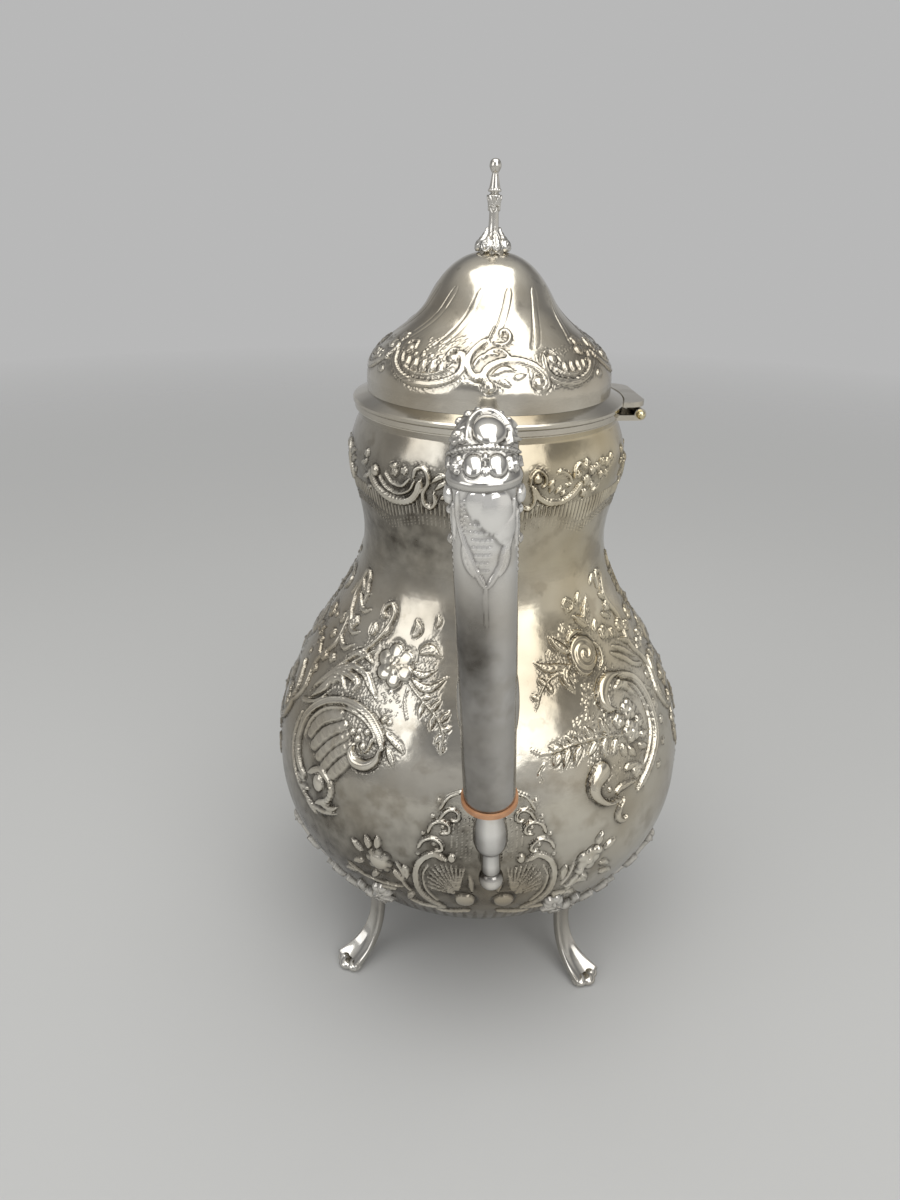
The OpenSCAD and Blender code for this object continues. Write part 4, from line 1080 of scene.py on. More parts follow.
    def shell(self) -> None:
        """Draws the mirrored shell and scrolls at the bottom of the front."""
        r = self.relief
        r.bead((-2.8, 57.6), 3.1, 1.4, 1.05)
        r.line([(-8.2, 51.8), (-12, 55), (-14.6, 60), (-15.3, 66.8), (-14, 72.8), (-10.7, 76.2),
                (-7.6, 74.6)], 1.0, 1.1, Section.BAND)
        r.line([(-9.9, 55.6), (-12.7, 61.1), (-13.3, 67.4), (-12, 71.8)], 0.45, 0.7)
        r.bead((-6.2, 75.6), 1.3, 1.0, 1.3)
        tips = smooth_path([(-12, 62.6), (-12.1, 67.2), (-11.1, 71), (-9, 73.4), (-6.4, 73), (-4, 72.6),
                            (-2.2, 72.6)], 2)
        for tip in tips[:-1]:
            r.line([(mix(-4.6, tip[0], 0.12), mix(60.8, tip[1], 0.12)), tuple(tip)],
                   0.42, 0.85, Section.CORD)
        for a, low, high in ((-6.4, 79, 88), (-5.2, 76, 89), (-4, 75.4, 90), (-2.9, 75.2, 90.6),
                             (-1.8, 75.4, 91)):
            r.line([(a, low), (a + 0.5, high)], 0.3, 0.5)
        r.line([(-14.6, 77.6), (-13.3, 80.6), (-11, 81.9), (-9, 80.6), (-8.6, 78.4), (-10.4, 77.7)],
               0.65, 1.0)
        r.line([(-12.2, 83.6), (-11.2, 86.6), (-9.1, 87.8), (-7.1, 86.8), (-7.1, 84.6), (-9, 84)],
               0.65, 1.0)
        r.line([(-9.4, 88.6), (-8, 91), (-6.4, 91.8), (-5, 90.8), (-5, 88.8), (-6.5, 88.4)], 0.6, 1.0)
        r.line([(-9.6, 91.4), (-7.6, 95.2), (-4.4, 97)], 0.55, 0.8)
        for a, z in ((-13.4, 83), (-11.2, 89), (-9.8, 94), (-10.6, 79.8), (-8.6, 86), (-14.6, 75.4)):
            r.bead((a, z), 0.75)
        r.leaf((-1, 51.6), (-6, 49.2), (-12, 49.6), width=1.5, height=1.0)
        r.leaf((-8, 52), (-14, 51), (-19, 54), width=1.3, height=1.0)
        r.leaf((-1, 62), (-1.4, 66), (-1.8, 70), width=0.9, height=0.7)

    def left_boss(self) -> None:
        """Draws the round boss, buds and leaves at the left of the shell."""
        r = self.relief
        r.flower((-25.3, 68), 4.8, 8, 0.8)
        r.bead((-25.3, 68), 3.1, 1.8)
        for leaf in ([(-27.8, 72), (-29, 76.6)], [(-25.6, 73), (-25.4, 78)], [(-30, 69.6), (-33.4, 73)],
                     [(-29.8, 66), (-33.6, 63.4)], [(-26, 63.3), (-28, 59.6)], [(-21.2, 66.5), (-18.6, 62)],
                     [(-21, 57.5), (-28, 54.6)], [(-33, 59), (-38, 57)], [(-16.4, 58), (-18.6, 53)],
                     [(-18.2, 70), (-17.4, 64)]):
            r.leaf(*leaf, width=1.3, height=1.1)
        r.line([(-20.3, 70.2), (-18.6, 66), (-18.8, 62), (-17, 58.5)], 0.6, 0.8)
        r.line([(-36, 61), (-31, 58.5), (-25, 58.5), (-19, 59.6)], 0.6, 0.8)

    def right_boss(self) -> None:
        """Draws the flower and leaves at the right of the shell."""
        r = self.relief
        r.flower((29.2, 69.2), 4.2, 5, 1.1)
        for a, z in ((29.2, 69.2), (31.8, 72.2), (26.8, 66)):
            r.bead((a, z), 1.5, 1.6)
        for leaf in ([(31.5, 74.2), (32.8, 78.4)], [(33.8, 71.4), (37.6, 73.6)], [(33, 66), (37, 63.5)],
                     [(28, 63.5), (30, 60)], [(26.7, 65), (25.4, 61), (24.1, 57.1)],
                     [(23, 60), (27, 61.2), (31, 59.4)], [(21, 57.5), (28, 55)], [(34, 61), (39, 59)],
                     [(20.6, 58), (22.6, 53)], [(22.6, 70), (21.8, 64)]):
            r.leaf(*leaf, width=1.25, height=1.1)
        r.line([(24.8, 70), (23.8, 65.6), (22, 61.5)], 0.5, 0.7)

    def side_spray(self) -> None:
        """Draws the spray of flowers between the front and back panels."""
        r = self.relief
        r.rose((0, 119), 5.4, 1.6)
        for a, z, size in ((-9, 106, 4.4), (7, 103, 3.8), (10, 127, 3.2), (-11, 129, 2.8), (1, 94, 3.0)):
            r.flower((a, z), size, 5, 1.4)
            r.bead((a, z), 0.3 * size, 1.7)
        r.line([(15, 111), (19, 104), (18, 95), (12, 89), (4, 87), (-3, 90), (-3, 95), (1, 97)],
               1.3, 1.4, Section.BAND)
        r.line([(-16, 116), (-20, 110), (-19, 102), (-14, 99), (-11, 102)], 1.1, 1.2, Section.BAND)
        r.line([(-4, 133), (2, 140), (9, 141), (11, 137), (8, 134)], 1.0, 1.1, Section.BAND)
        for stem in ([(5, 119), (12, 121), (20, 118)], [(-5, 120), (-12, 122), (-20, 121)],
                     [(-4, 113), (-11, 115), (-17, 113)], [(0, 126), (-3, 132), (-8, 138), (-8, 146)],
                     [(-12, 103), (-16, 96), (-16, 88)], [(11, 103), (14, 99), (14, 95)],
                     [(4, 87), (-4, 82), (-8, 75), (-6, 67)], [(8, 88), (12, 81), (10, 73)],
                     [(-4, 82), (2, 76), (3, 68)]):
            r.sprig(stem, 3, 3.6, 1.0, 1.1)
        for a, z in ((-14, 108), (14, 114), (-18, 128), (17, 128), (6, 147), (-2, 63), (8, 67)):
            r.bead((a, z), 1.2)
        r.matting((0, 110), (6, 5), 1.2, 17, 0.4)

    def neck_left(self) -> None:
        """Draws the garland under the collar, left of the handle and on the pot's sides."""
        r = self.relief
        kept, r.turns = r.turns, (0, 180, 128, -52)
        r.line([(-52.5, 180.5), (-50.5, 177), (-45, 174.3), (-38, 173.4), (-31.5, 174.6), (-27.6, 177.4),
                (-26, 181)], 1.1, 1.3, Section.BAND)
        r.line([(-46.5, 179.6), (-42.5, 176.7), (-36.5, 176), (-31, 177.8), (-28.6, 180.6)], 0.5, 0.9)
        r.line([(-43, 181.2), (-39.5, 178.8), (-34.5, 178.6), (-30.8, 181)], 0.6, 0.8)
        r.bead((-49.4, 180.6), 1.8, 1.3)
        r.line([(-28.8, 181.6), (-28.2, 184), (-25.4, 184.8), (-23.2, 183.3), (-22.8, 180.6),
                (-24.8, 177.8), (-24.6, 174.6), (-22, 173.6), (-20, 175.4), (-20.4, 178.2)], 0.7, 1.1)
        for leaf in ([(-21.5, 181), (-18, 183), (-14, 183.6)], [(-20, 179), (-17, 181), (-13.5, 181.4)],
                     [(-18, 176.6), (-14, 178.4)], [(-41, 183.4), (-36, 184.2)], [(-55, 182.6), (-60, 181)],
                     [(-54, 178.5), (-59, 177)], [(-53, 175.5), (-57, 173.6)]):
            r.leaf(*leaf, width=0.85, height=0.9)
        for a, z in ((-38, 182), (-33.5, 183), (-56, 184.6)):
            r.flower((a, z), 1.4, 5, 0.9)
        r.turns = kept

    def neck_right(self) -> None:
        """Draws the garland under the collar, right of the handle."""
        r = self.relief
        r.bead((18.8, 182.8), 1.4, 1.0)
        r.line([(15.8, 181.2), (16.4, 184), (19.2, 185.2), (21.8, 183.6), (22, 181.4), (20.5, 180.6)],
               0.5, 0.9)
        r.line([(16.6, 181), (19.6, 177.6), (24.2, 175.6), (29.5, 175.4), (34.5, 176.9), (38.4, 180)],
               0.9, 1.1, Section.BAND)
        for leaf in ([(25.8, 182.2), (22.6, 180.2)], [(25.4, 180.8), (23.6, 178.6)], [(29, 180), (26, 178)],
                     [(45, 176.5), (50, 178)], [(31, 178.6), (28.6, 177.2)]):
            r.leaf(*leaf, width=0.7, height=0.8)
        r.line([(27, 184.2), (29.5, 184.2), (32.4, 182.6), (33, 180.6), (30.5, 180.2)], 0.5, 0.8)
        r.line([(34.6, 181.8), (35.2, 184.4), (38.2, 185.6), (40.2, 184), (41.2, 186), (43.4, 185)],
               0.5, 0.9)
        for a, z, size in ((41.3, 180.3, 1.9), (40.3, 176.8, 1.4), (44.5, 183, 1.4), (44.6, 178.6, 1.2),
                           (48, 183.5, 1.4), (51.5, 184.5, 1.3), (55, 183.8, 1.4), (58.5, 184.8, 1.3),
                           (50, 180.8, 1.2), (54, 181, 1.2), (37, 182.6, 1.1)):
            r.flower((a, z), size, 5, 1.0, a)
        r.line([(9.5, 179.5), (12, 176), (15.5, 174.3), (17.8, 176.3), (17.2, 179.5)], 0.6, 1.0)

    def fringe(self) -> None:
        """Punches the fine dotted fringe that hangs from the garland."""
        r = self.relief
        for a in np.arange(-180, 180, 1.9):
            low = 167.2 + 4.2 * abs(math.sin(math.radians(4.2 * a)))
            r.line([(a, 175), (a, low)], 0.4, 0.32)
            r.dots((a, low - 1.2), (a, low - 3.2), 3, 0.4, 0.28)

    def rays(self) -> None:
        """Cuts the rays that run under the base from the shell."""
        r = self.relief
        for a in np.arange(-180, 180, 3.0):
            r.line([(a, 50), (a, 31)], 0.8, 0.35, Section.CUT)


@dataclass
class Lid:
    """The domed lid with its scrolls and slanted flutes, and its inner skin."""

    flange_top: float = 199.3
    band_r: float = 37.0
    band_top: float = 202.9
    throat: Point = (19.0, 224.7)
    dome_top: float = 238.5
    wall: float = 1.0
    seat_r: float = 5.0
    creases: int = 13

    def outline(self) -> np.ndarray:
        """The outside from the flange to the top, as (radius, height) rows."""
        t = np.linspace(0, 1, 60)
        ogee = [(self.band_r, self.band_top), (self.band_r, 213.58), (23.52, 216.63), self.throat]
        crown = [self.throat, (15.37, 231.19), (11.02, self.dome_top), (0.0, self.dome_top)]
        return np.vstack([[(self.band_r, self.flange_top)], bezier(ogee, t), bezier(crown, t[1:])])

    def build(self, finish: Finishes) -> None:
        """Makes the embossed outside and the inner skin."""
        profile = Profile(self.outline())
        relief = Relief(profile, 1200, 0.2, by_height=False)
        self.emboss(relief)
        relief.finish(0.2, 0.52)
        angles = front_angles(80, 0.6, 1.1)
        lengths = np.append(np.arange(0, profile.total - 0.3, 0.42), profile.total - 0.05)
        points = embossed_points(profile, relief, angles, lengths)
        faces = grid_faces(*points.shape[:2], True)
        shade_and_tarnish_mask = relief.sample(relief.shade_and_tarnish_mask, angles, lengths)
        dome = make_piece("lid_dome_shell", points.reshape(-1, 3),
                          faces, grid_normals(points).reshape(-1, 3),
                          shade_and_tarnish_mask, relief.sample(relief.matted, angles, lengths))
        dress(dome, finish.silver, "lid", "silver", "lid_dome")
        s = np.linspace(0, profile.total, 60)
        (r, z), (nr, nz) = profile.at(s), profile.normals(s)
        inner = np.column_stack([r - self.wall * nr, z - self.wall * nz])
        inner = inner[inner[:, 0] > self.seat_r]
        seat = np.vstack([inner, [[0.01, inner[-1, 1]]]])
        dress(turned_skin("lid_dome_inside", seat, 96, True), finish.plain, "lid", "silver", "lid_dome")

    def emboss(self, r: Relief) -> None:
        """Draws the slanted creases, then three sets of scrolls below them, as (angle, length) places."""
        r.turns = tuple(k * 360 / self.creases for k in range(self.creases))
        r.line([(15, 38.4), (8.5, 31.9), (2, 25.9), (-5.5, 19.4)], 0.6, 0.3, Section.CUT)
        r.line([(17.2, 38.4), (11, 31.9), (4.5, 25.9), (-3, 19.4)], 0.9, 0.14)
        r.turns = (0, 120, 240)
        self._swag(r)
        self._cartouche(r)
        self._scroll(r)

    def _swag(self, r: Relief) -> None:
        """Draws a hanging scroll with balls at its ends and a row of drops."""
        r.line([(-56, 15.6), (-52.5, 12), (-46, 9), (-38, 7.4), (-28, 7.4), (-20, 8.6), (-15, 10.6),
                (-13.2, 13.6), (-14.5, 16.6), (-18, 18)], 0.95, 1.1, Section.BAND)
        r.line([(-50, 15.4), (-46.5, 12.2), (-39, 10), (-29, 9.9), (-21.5, 11.4), (-18, 13.6)], 0.45, 0.7)
        r.bead((-48.3, 17), 1.8, 1.3)
        r.line([(-52.4, 17.2), (-50.4, 19.7), (-46, 19.8), (-44, 17)], 0.4, 0.7)
        r.bead((-19.2, 15.6), 1.6, 1.2)
        r.line([(-22.8, 16.4), (-21.2, 18.6), (-17.5, 18.8)], 0.45, 0.7)
        for a in range(-44, -22, 5):
            r.leaf((a, 10.6), (a + 0.5, 14.4), width=1.0, height=1.0)
            r.bead((a + 2.5, 15.6), 0.7)
        r.dots((-37, 16.5), (-33.5, 20.5), 5, 0.45, 0.4)
        r.matting((-25, 20.6), (14, 3.4), 1.2, 23, 0.34)
        for leaf in ([(-60, 12), (-66, 14)], [(-58, 16), (-64, 18)], [(-58, 9), (-63, 8.4)]):
            r.leaf(*leaf, width=1.1, height=1.0)

    def _cartouche(self, r: Relief) -> None:
        """Draws an arch of scrolls with a curl on top."""
        r.line([(-4.8, 9.3), (-8.5, 10.8), (-11.2, 14), (-10.6, 17.3), (-7, 20.6), (-2.4, 22.8)],
               0.9, 1.2, Section.BAND)
        r.bead((-5.6, 10.2), 1.4)
        r.line([(-8.3, 13.2), (-6, 16), (-1.5, 17.6), (3.5, 17.4)], 0.6, 0.8)
        r.line([(-4.5, 15.8), (-0.5, 18.6), (5, 18.9), (8.4, 16.9), (8, 15.2)], 0.6, 0.9)
        r.line([(1, 21.3), (5.5, 20.8), (9.6, 21.8), (11.6, 24.2), (9.6, 26), (6.2, 25.6), (5.6, 23.8)],
               0.65, 1.0)
        r.line([(-1.6, 21), (-1, 24), (2, 27.5)], 0.35, 0.5)
        r.line([(-0.4, 8), (-3.2, 10.6), (-1, 13.3), (5, 15.2), (12.5, 15.6), (19.5, 14), (24, 11),
                (25.3, 8), (22.6, 6.6)], 0.95, 1.2, Section.BAND)
        r.bead((-0.8, 7.6), 1.6, 1.2)
        r.bead((21.2, 8.6), 1.6, 1.2)
        for leaf in ([(0, 10.8), (6, 12.8), (11.5, 11.8)], [(3.5, 9.4), (8.6, 8)], [(10, 10), (15.5, 11)]):
            r.leaf(*leaf, width=0.9, height=0.9)

    def _scroll(self, r: Relief) -> None:
        """Draws the open scroll at the right of the arch."""
        r.line([(27.6, 17), (26, 13), (28.4, 9.8), (34.5, 8.3), (42.5, 7.9), (50.5, 9.4), (57, 12.4),
                (61.5, 16)], 0.95, 1.1, Section.BAND)
        r.line([(31, 12.4), (36, 10.6), (43, 10.3), (49.5, 11.6), (54.5, 14)], 0.45, 0.7)
        r.bead((31.6, 15.3), 1.6, 1.2)
        r.line([(35, 16.4), (32, 18.4), (28.3, 17.6)], 0.45, 0.7)
        for a in (37, 41.5, 46, 50.5):
            r.leaf((a, 11), (a + 0.5, 14), width=0.9, height=0.9)
        r.bead((54, 17), 1.7, 1.3)
        r.flower((58.5, 20.3), 2.0, 5, 1.0)
        r.matting((43, 17.6), (9, 2.2), 1.2, 31, 0.34)


def plane_ring(centre: np.ndarray, direction: np.ndarray, radii: np.ndarray,
               angles: np.ndarray) -> np.ndarray:
    """A ring round a line in the (out, height) plane, as (side, out, height) rows.

    Args:
        centre: The ring's middle as (out, height).
        direction: The line's direction there.
        radii: A radius for each angle.
        angles: Angles in degrees, where 0 faces outward from a falling line.

    Returns:
        One row for each angle.
    """
    a = np.radians(angles)
    side, up = -radii * np.sin(a), radii * np.cos(a)
    return np.stack([side, centre[0] - up * direction[1], centre[1] + up * direction[0]], -1)


def root_loft(root: np.ndarray, ring: np.ndarray, leave: Point, arrive: np.ndarray,
              steps: int) -> np.ndarray:
    """Rings that leave the body square to it and turn into the first ring of a tube."""
    pull = 0.42 * np.linalg.norm(ring - root, axis=1, keepdims=True)
    p = [root, root + pull * np.array(leave), ring - pull * arrive, ring]
    t = np.linspace(0, 1, steps, endpoint=False)[:, None, None]
    return (1 - t) ** 3 * p[0] + 3 * t * (1 - t) ** 2 * p[1] + 3 * t**2 * (1 - t) * p[2] + t**3 * p[3]


def root_ring(body: Body, z: float, half_w: float, half_h: float, gap: float,
              angles: np.ndarray) -> np.ndarray:
    """A ring that lies on the body, as (side, out, height) rows that match plane_ring."""
    a = np.radians(angles)
    x, height = -half_w * np.sin(a), z + half_h * np.cos(a)
    r = body.radius(height) + gap
    return np.stack([x, np.sqrt(r * r - x * x), height], -1)


@dataclass
class Handle:
    """The handle: its cast sockets and the grip with its raised leaf."""

    body: Body
    lean: float = 2.7
    turn: float = 0.8
    grip_top: Point = (78.5, 194.1)
    grip_low: Point = (79.0, 105.9)
    grip_mid: tuple[Point, Point] = ((78.5, 167.6), (82.3, 130.6))
    top_r: float = 8.1
    low_r: float = 7.1
    grip_len: float = 88.4
    bend_turn: float = 125.0
    bend_len: float = 29.0
    bend_thick: float = 5.6
    start_w: float = 6.2
    rim: float = 2.0
    flare: float = 0.9
    knob: tuple[Point, ...] = ((1.7, 3.5), (4, 3.6), (8, 4.1), (12, 4.7), (15.5, 4.95), (18, 4.75),
                               (19.8, 4.1), (20.8, 3.2), (22, 2.8), (26, 2.7), (29, 2.8), (30.3, 2.4))
    drop_at: float = 33.07
    drop_r: float = 3.65
    arm_below: float = 11.35
    arm_r: float = 3.4

    def place(self, p: np.ndarray) -> np.ndarray:
        """Moves (side, out, height) points to the handle's place on the pot."""
        lean, turn = math.radians(self.lean), math.radians(180 - self.turn)
        x, y, z = p[..., 0], p[..., 1], p[..., 2] - self.body.collar_z
        x, z = (x * math.cos(lean) + z * math.sin(lean),
                z * math.cos(lean) - x * math.sin(lean) + self.body.collar_z)
        side, out = x * math.cos(turn) - y * math.sin(turn), x * math.sin(turn) + y * math.cos(turn)
        return np.stack([side, out, z], -1)

    def build(self, finish: Finishes) -> None:
        """Makes the grip, the leaf on it and both sockets."""
        self.grip(finish)
        self.inner_leaf(finish)
        self.socket(finish)
        self.lower_socket(finish)

    def grip(self, finish: Finishes) -> None:
        """Makes the tapering grip with the raised leaf near its top."""
        relief = Relief(Profile(np.array([[self.top_r, 0], [self.low_r, self.grip_len]])),
                        720, 0.2, by_height=False)
        self.top_leaf(relief)
        relief.finish(0.0)
        t = np.linspace(0, 1, 240)
        angles = np.arange(-180, 180, 2.0)
        line = [self.grip_top, *self.grip_mid, self.grip_low]
        radii = (mix(self.top_r, self.low_r, t)[:, None]
                 + relief.sample(relief.height, angles, t * self.grip_len))
        rings = np.stack([plane_ring(c, d, r, angles)
                          for c, d, r in zip(bezier(line, t), bezier_dir(line, t), radii)])
        # Painted shade down the grip and on its left side, standing in for dark reflections, added to the
        # tarnishing and painted shade in the leaf's hollows.
        painted_shade = np.interp(t, (0.2, 0.34, 0.46, 0.62, 1.0), (0.0, 0.42, 0.66, 0.56, 0.6))[:, None]
        one_sided = np.interp(t, (0.45, 0.65), (0.45, 0.2))[:, None]
        painted_shade = painted_shade * (1 - one_sided * np.tanh((angles - 8) / 16))
        shade_and_dirt = painted_shade + relief.sample(relief.shade_and_tarnish_mask, angles, t * self.grip_len)
        piece = Gathered().tube(self.place(rings), shade_and_dirt).piece("handle_grip_tube")
        dress(piece, finish.polished, "pot", "silver", "handle_grip")

    def inner_leaf(self, finish: Finishes) -> None:
        """Makes the leaf that clasps the grip's inner side."""
        t = np.linspace(0.55, 0.745, 60)
        angles = np.arange(-180, 180, 4.0)
        line = [self.grip_top, *self.grip_mid, self.grip_low]
        rise = np.clip(np.sin(math.pi * (t - 0.55) / 0.195), 0, 1)[:, None] ** 0.5
        around = np.clip((np.abs(angles) - 68) / 40, 0, 1)[None, :]
        veins = 0.25 * np.cos(np.radians(9 * angles))[None, :] * rise
        radii = mix(self.top_r, self.low_r, t)[:, None] - 0.4 + (1.5 + veins) * rise * around**0.6
        rings = np.stack([plane_ring(c, d, r, angles)
                          for c, d, r in zip(bezier(line, t), bezier_dir(line, t), radii)])
        # The leaf is darkened evenly with painted shade, on the side that faces the pot.
        piece = Gathered().tube(self.place(rings), 0.35 + 0 * radii).piece("handle_inner_leaf_cast")
        dress(piece, finish.cast, "pot", "cast_silver", "handle_inner_leaf")

    def top_leaf(self, r: Relief) -> None:
        """Raises the pointed leaf with its lobes, scales and side leaves, as (angle, length) places."""
        r.bead((20, 5.5), 4.4, 1.1, 1.25)
        r.bead((38, 9.5), 3.2, 0.9, 1.3)
        r.bead((-10, 3.5), 3.0, 0.7, 1.3)
        for line in ([(-48, 1), (-51, 6), (-41, 12), (-20, 19), (-2, 24)],
                     [(56, 3), (53, 9), (44, 14), (24, 19.5), (4, 24)],
                     [(4, 1), (20, 0.6), (36, 3), (40, 6)], [(18, 11), (34, 13.4), (48, 12)]):
            r.line(line, 0.75, 0.5)
        r.line([(0, 24), (-1, 28), (1, 34)], 0.5, 0.26)
        for row in range(8):
            half = 22 - 2.2 * row
            for a in np.linspace(-half - 6, half - 6, max(2, 6 - row // 2)):
                r.bead((a + 2 * (row % 2), 7 + 1.9 * row), 0.5, 0.26)
        for s in np.arange(3, 12, 1.3):
            r.bead((-34, s), 0.5, 0.26)
            r.bead((-40, s + 0.6), 0.5, 0.26)
        for leaf in ([(40, 13), (34, 18), (22, 22)], [(-38, 13), (-30, 18), (-18, 22)],
                     [(-62, 4), (-66, 9), (-60, 14)], [(66, 6), (70, 11), (62, 16)]):
            r.leaf(*leaf, width=1.6, height=0.6)
        for a in (-86, 86):
            r.bead((a, 3), 2.4, 1.6, 1.2)
            r.bead((a, 7), 1.3, 1.0)
            for s in np.arange(12, 22, 1.6):
                r.bead((math.copysign(74, a), s), 0.5, 0.3)

    def socket(self, finish: Finishes) -> None:
        """Makes the cast socket that bends from the collar over the grip."""
        relief = Relief(Profile(np.array([[8.0, 0], [8.0, self.bend_len]])), 720, 0.15, by_height=False)
        self.cast_relief(relief)
        relief.finish(0.3)
        t = np.linspace(0, 1, 130)
        angles = np.arange(-180, 180, 2.5)
        a = np.radians(90 + angles)[None, :]
        half_w = mix(self.start_w, self.top_r, np.minimum(1, 1.6 * t))[:, None]
        half_t = mix(mix(self.start_w, self.bend_thick, np.minimum(1, 2 * t)), self.top_r, t**3)[:, None]
        rim = (self.flare * t**12)[:, None]
        plain = half_w * half_t / np.hypot(half_t * np.cos(a), half_w * np.sin(a))
        radii = plain + rim + relief.sample(relief.height, angles, t * self.bend_len)
        bend_r = (half_t + rim + 0.6)[:, 0]
        pivot = np.array(self.grip_top) + (-bend_r[-1], self.rim)
        turn = np.radians(self.bend_turn * (1 - t))
        out = np.stack([np.cos(turn), np.sin(turn)], -1)
        bend = [plane_ring(pivot + b * o, np.array([o[1], -o[0]]), r, angles)
                for b, o, r in zip(bend_r, out, radii)]
        mouth = plane_ring(np.array(self.grip_top), np.array([0, -1]), radii[-1], angles)
        root = root_ring(self.body, self.body.collar_z, 6.5, 7.0, -0.3, angles)
        arrive = np.array([0, math.sin(math.radians(self.bend_turn)),
                           -math.cos(math.radians(self.bend_turn))])
        loft = root_loft(root, bend[0], (0, 1, 0), arrive, 24)
        rings = np.concatenate([loft, np.stack(bend + [mouth])])
        shade_and_tarnish_mask = np.zeros(rings.shape[:2])
        shade_and_tarnish_mask[24:-1] = relief.sample(relief.shade_and_tarnish_mask, angles, t * self.bend_len)
        piece = Gathered().tube(self.place(rings), shade_and_tarnish_mask).piece("handle_socket_cast")
        dress(piece, finish.cast, "pot", "cast_silver", "handle_upper_socket")

    def lower_socket(self, finish: Finishes) -> None:
        """Makes the pear-shaped knob, its drop and the arm that holds them on the body."""
        angles = np.arange(-180, 180, 6.0)
        along = bezier_dir([self.grip_top, *self.grip_mid, self.grip_low], np.array([1.0]))[0]
        knob = smooth_path(self.knob, 5)
        ball = np.radians(np.linspace(-46, 88, 16))
        rows = np.vstack([knob,
                          np.column_stack([self.drop_at + self.drop_r * np.sin(ball),
                                           self.drop_r * np.cos(ball)])])
        even = np.ones(len(angles))
        rings = np.stack([plane_ring(np.array(self.grip_low) + s * along, along, r * even, angles)
                          for s, r in rows])
        # Painted highlight and painted shade in place of reflections: a bright band down the knob's front,
        # darker at its top, waists and drop, and towards its left and right.
        shade_and_dirt = np.interp(rows[:, 0], (1.7, 3.4, 5.5, 11, 13.5, 18, 20.6, 22, 26, 30.3, 32, 34, 36),
                         (0.9, 0.5, 0.0, 0.0, 0.2, 0.3, 0.7, 0.2, 0.05, 0.6, 0.1, 0.0, 0.5))
        sides = np.interp(angles, (-90, -55, -30, -10, 18, 40, 70, 100),
                          (0.75, 0.65, 0.35, 0.0, 0.0, 0.25, 0.5, 0.75))
        z = self.grip_low[1] - self.arm_below
        root = float(self.body.radius(z)) - 0.6
        arm = [(root, 4.6), (root + 0.9, 4.3), (root + 1.8, 3.7), (root + 3, self.arm_r),
               (self.grip_low[0] - 1, self.arm_r)]
        held = np.stack([plane_ring(np.array([out, z]), np.array([1.0, 0.0]), r * even, angles)
                         for out, r in arm])
        made = Gathered().tube(self.place(rings), shade_and_dirt[:, None] + sides)
        # The arm is darkened evenly with painted shade.
        made.tube(self.place(held), 0.3 + 0 * held[..., 0])
        dress(made.piece("handle_knob_cast"), finish.polished, "pot", "cast_silver", "handle_lower_socket")

    def cast_relief(self, r: Relief) -> None:
        """Raises the shield, rosette, curls, drops and rim, as (angle, length) places."""
        r.bead((12, 17.6), 5.0, 1.7, 0.9)
        r.line([(-32, 20.5), (-28, 14), (-4, 10.4), (30, 10.6), (52, 14.5), (54, 20.5)], 0.9, 1.0)
        r.flower((-54, 17.5), 3.4, 6, 1.1)
        r.bead((-54, 17.5), 1.5, 1.5)
        r.line([(72, 11), (58, 11.5), (54, 15), (62, 18.5), (76, 18)], 0.9, 1.2)
        r.bead((66, 15), 1.2, 1.1)
        for a in (-60, -36, -12, 14, 38, 62):
            r.bead((a, 8.6), 1.3, 0.8)
        for a in range(-90, 90, 9):
            r.bead((a, 22.4), 0.72, 0.7)
        for a in (-18, 24):
            r.bead((a, 26), 2.5, 1.2, 0.85)
        r.bead((3, 24.4), 0.8, 0.7)
        r.bead((3, 27), 0.8, 0.7)
        for a in (-52, 58):
            r.flower((a, 25.8), 2.1, 5, 1.0)
            r.bead((a, 25.8), 0.9, 1.2)
        for a in (-80, 84):
            r.leaf((a, 23.6), (a, 27.4), width=1.4, height=0.8)


